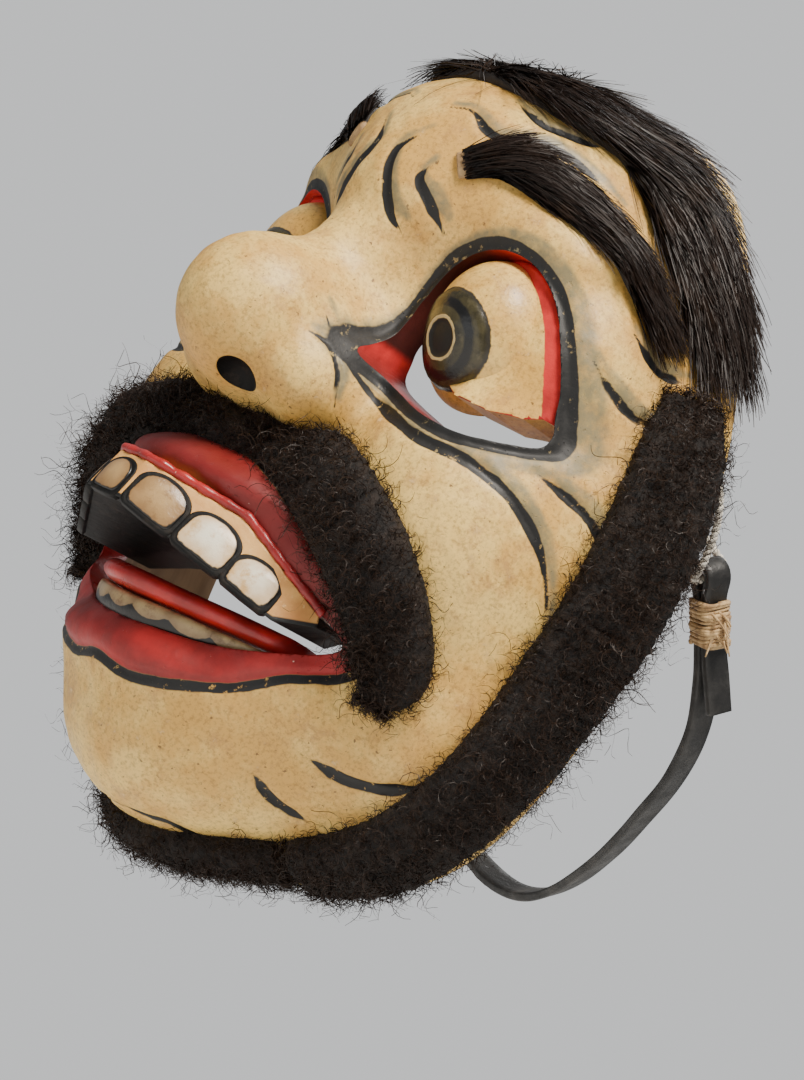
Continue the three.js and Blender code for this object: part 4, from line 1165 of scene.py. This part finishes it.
def add_hair(name, parts, node, slot, materials, sides=MIDDLE):
    """parts are (points, faces, tip, slot index, how hairy) as on the left side."""
    whole = joined([part[:2] for part in parts])
    fields = {key: np.concatenate([part[k] for part in parts]) for key, k in (("tip", 2), ("hairy", 4))}
    slots = [part[3] for part in parts for _ in part[1]]
    for side, sign in sides:
        points, faces = on_side(sign, whole)
        piece = make_mesh(name + side, keep_in_box(points), faces, materials, attributes=fields, slots=slots)
        install(piece, "mask", slot, node + side)


def strip_parts(base, hairy, *hair):
    """What add_hair takes: the skin in slot 0 with how hairy it is, and all the hair in slot 1."""
    points, faces = base
    return [(points, faces, np.zeros(len(points)), 0, hairy),
            *((p, f, tip, 1, np.ones(len(p))) for p, f, tip in hair)]


def pelt_parts(strip, hairs, reach_out=1.0, wider=1.0):
    strip.wide = strip.wide * wider
    base = strip.base(0.72, 1.0)
    return strip_parts(base, np.ones(len(base[0])), curls(strip, hairs, reach_out * 0.62),
                       curls(strip, hairs // 14, reach_out * 1.25, radius=(0.8, 2.2)))


def add_pelts():
    moustache = Strip(MOUSTACHE, across=True, count=220, round_ends=0.05)
    add_hair("moustache_pelt", pelt_parts(moustache, 7600, 1.2, 1.12), "moustache", "curly_pelt",
             [PELT, CURLS])
    add_hair("beard_pelt", pelt_parts(Strip(SIDEBURN), 7400), "sideburn", "curly_pelt", [PELT, CURLS], SIDES)
    add_hair("chin_pelt", pelt_parts(Strip(CHIN_BEARD, across=True), 4200), "chin_beard", "curly_pelt",
             [PELT, CURLS])


SKIN_SHOWS = 0.018  # share of a hide's length that is bare at its end


def hide_parts(strip, hairs, **how):
    """A strip of hide with its hairs; its ends are worn down to the skin."""
    base = strip.base(0.35, 0.2)
    hair = straight_hair(strip, hairs, **how)
    count, last = len(base[0]), strip.count - 1
    station = np.minimum(np.arange(count) // (count // strip.count), last) / last
    hairy = np.interp(station, [0, SKIN_SHOWS, SKIN_SHOWS + 0.03, 1], [0, 0.2, 1, 1])
    if how["comb"] == "apart":
        hairy = np.interp(np.minimum(station, 1 - station), [0, SKIN_SHOWS, SKIN_SHOWS + 0.015], [0, 0.2, 1])
    return strip_parts(base, hairy, hair)


def add_hides():
    band = hide_parts(Strip(HAIRLINE, across=True, count=240), 14500, long=(12, 22), comb="apart", stand=0.05,
                      lean=0.07, bare=(0.05, 0.05))
    add_hair("hairline_hide", band, "hair_band", "hide_hair", [HIDE, STRAIGHT])
    brow = hide_parts(Strip(BROW), 7000, long=(8, 16), comb="along", stand=0.10, lean=0.04, spread=0.08,
                      bare=(0.02, 0.12))
    add_hair("brow_hide", brow, "brow", "hide_hair", [HIDE, STRAIGHT], SIDES)


# ---------------------------------------------------------------- everything, camera and cord first

add_camera()
add_strap()
add_stage()
add_face()
add_eyes()
add_mouth()
add_pelts()
add_hides()
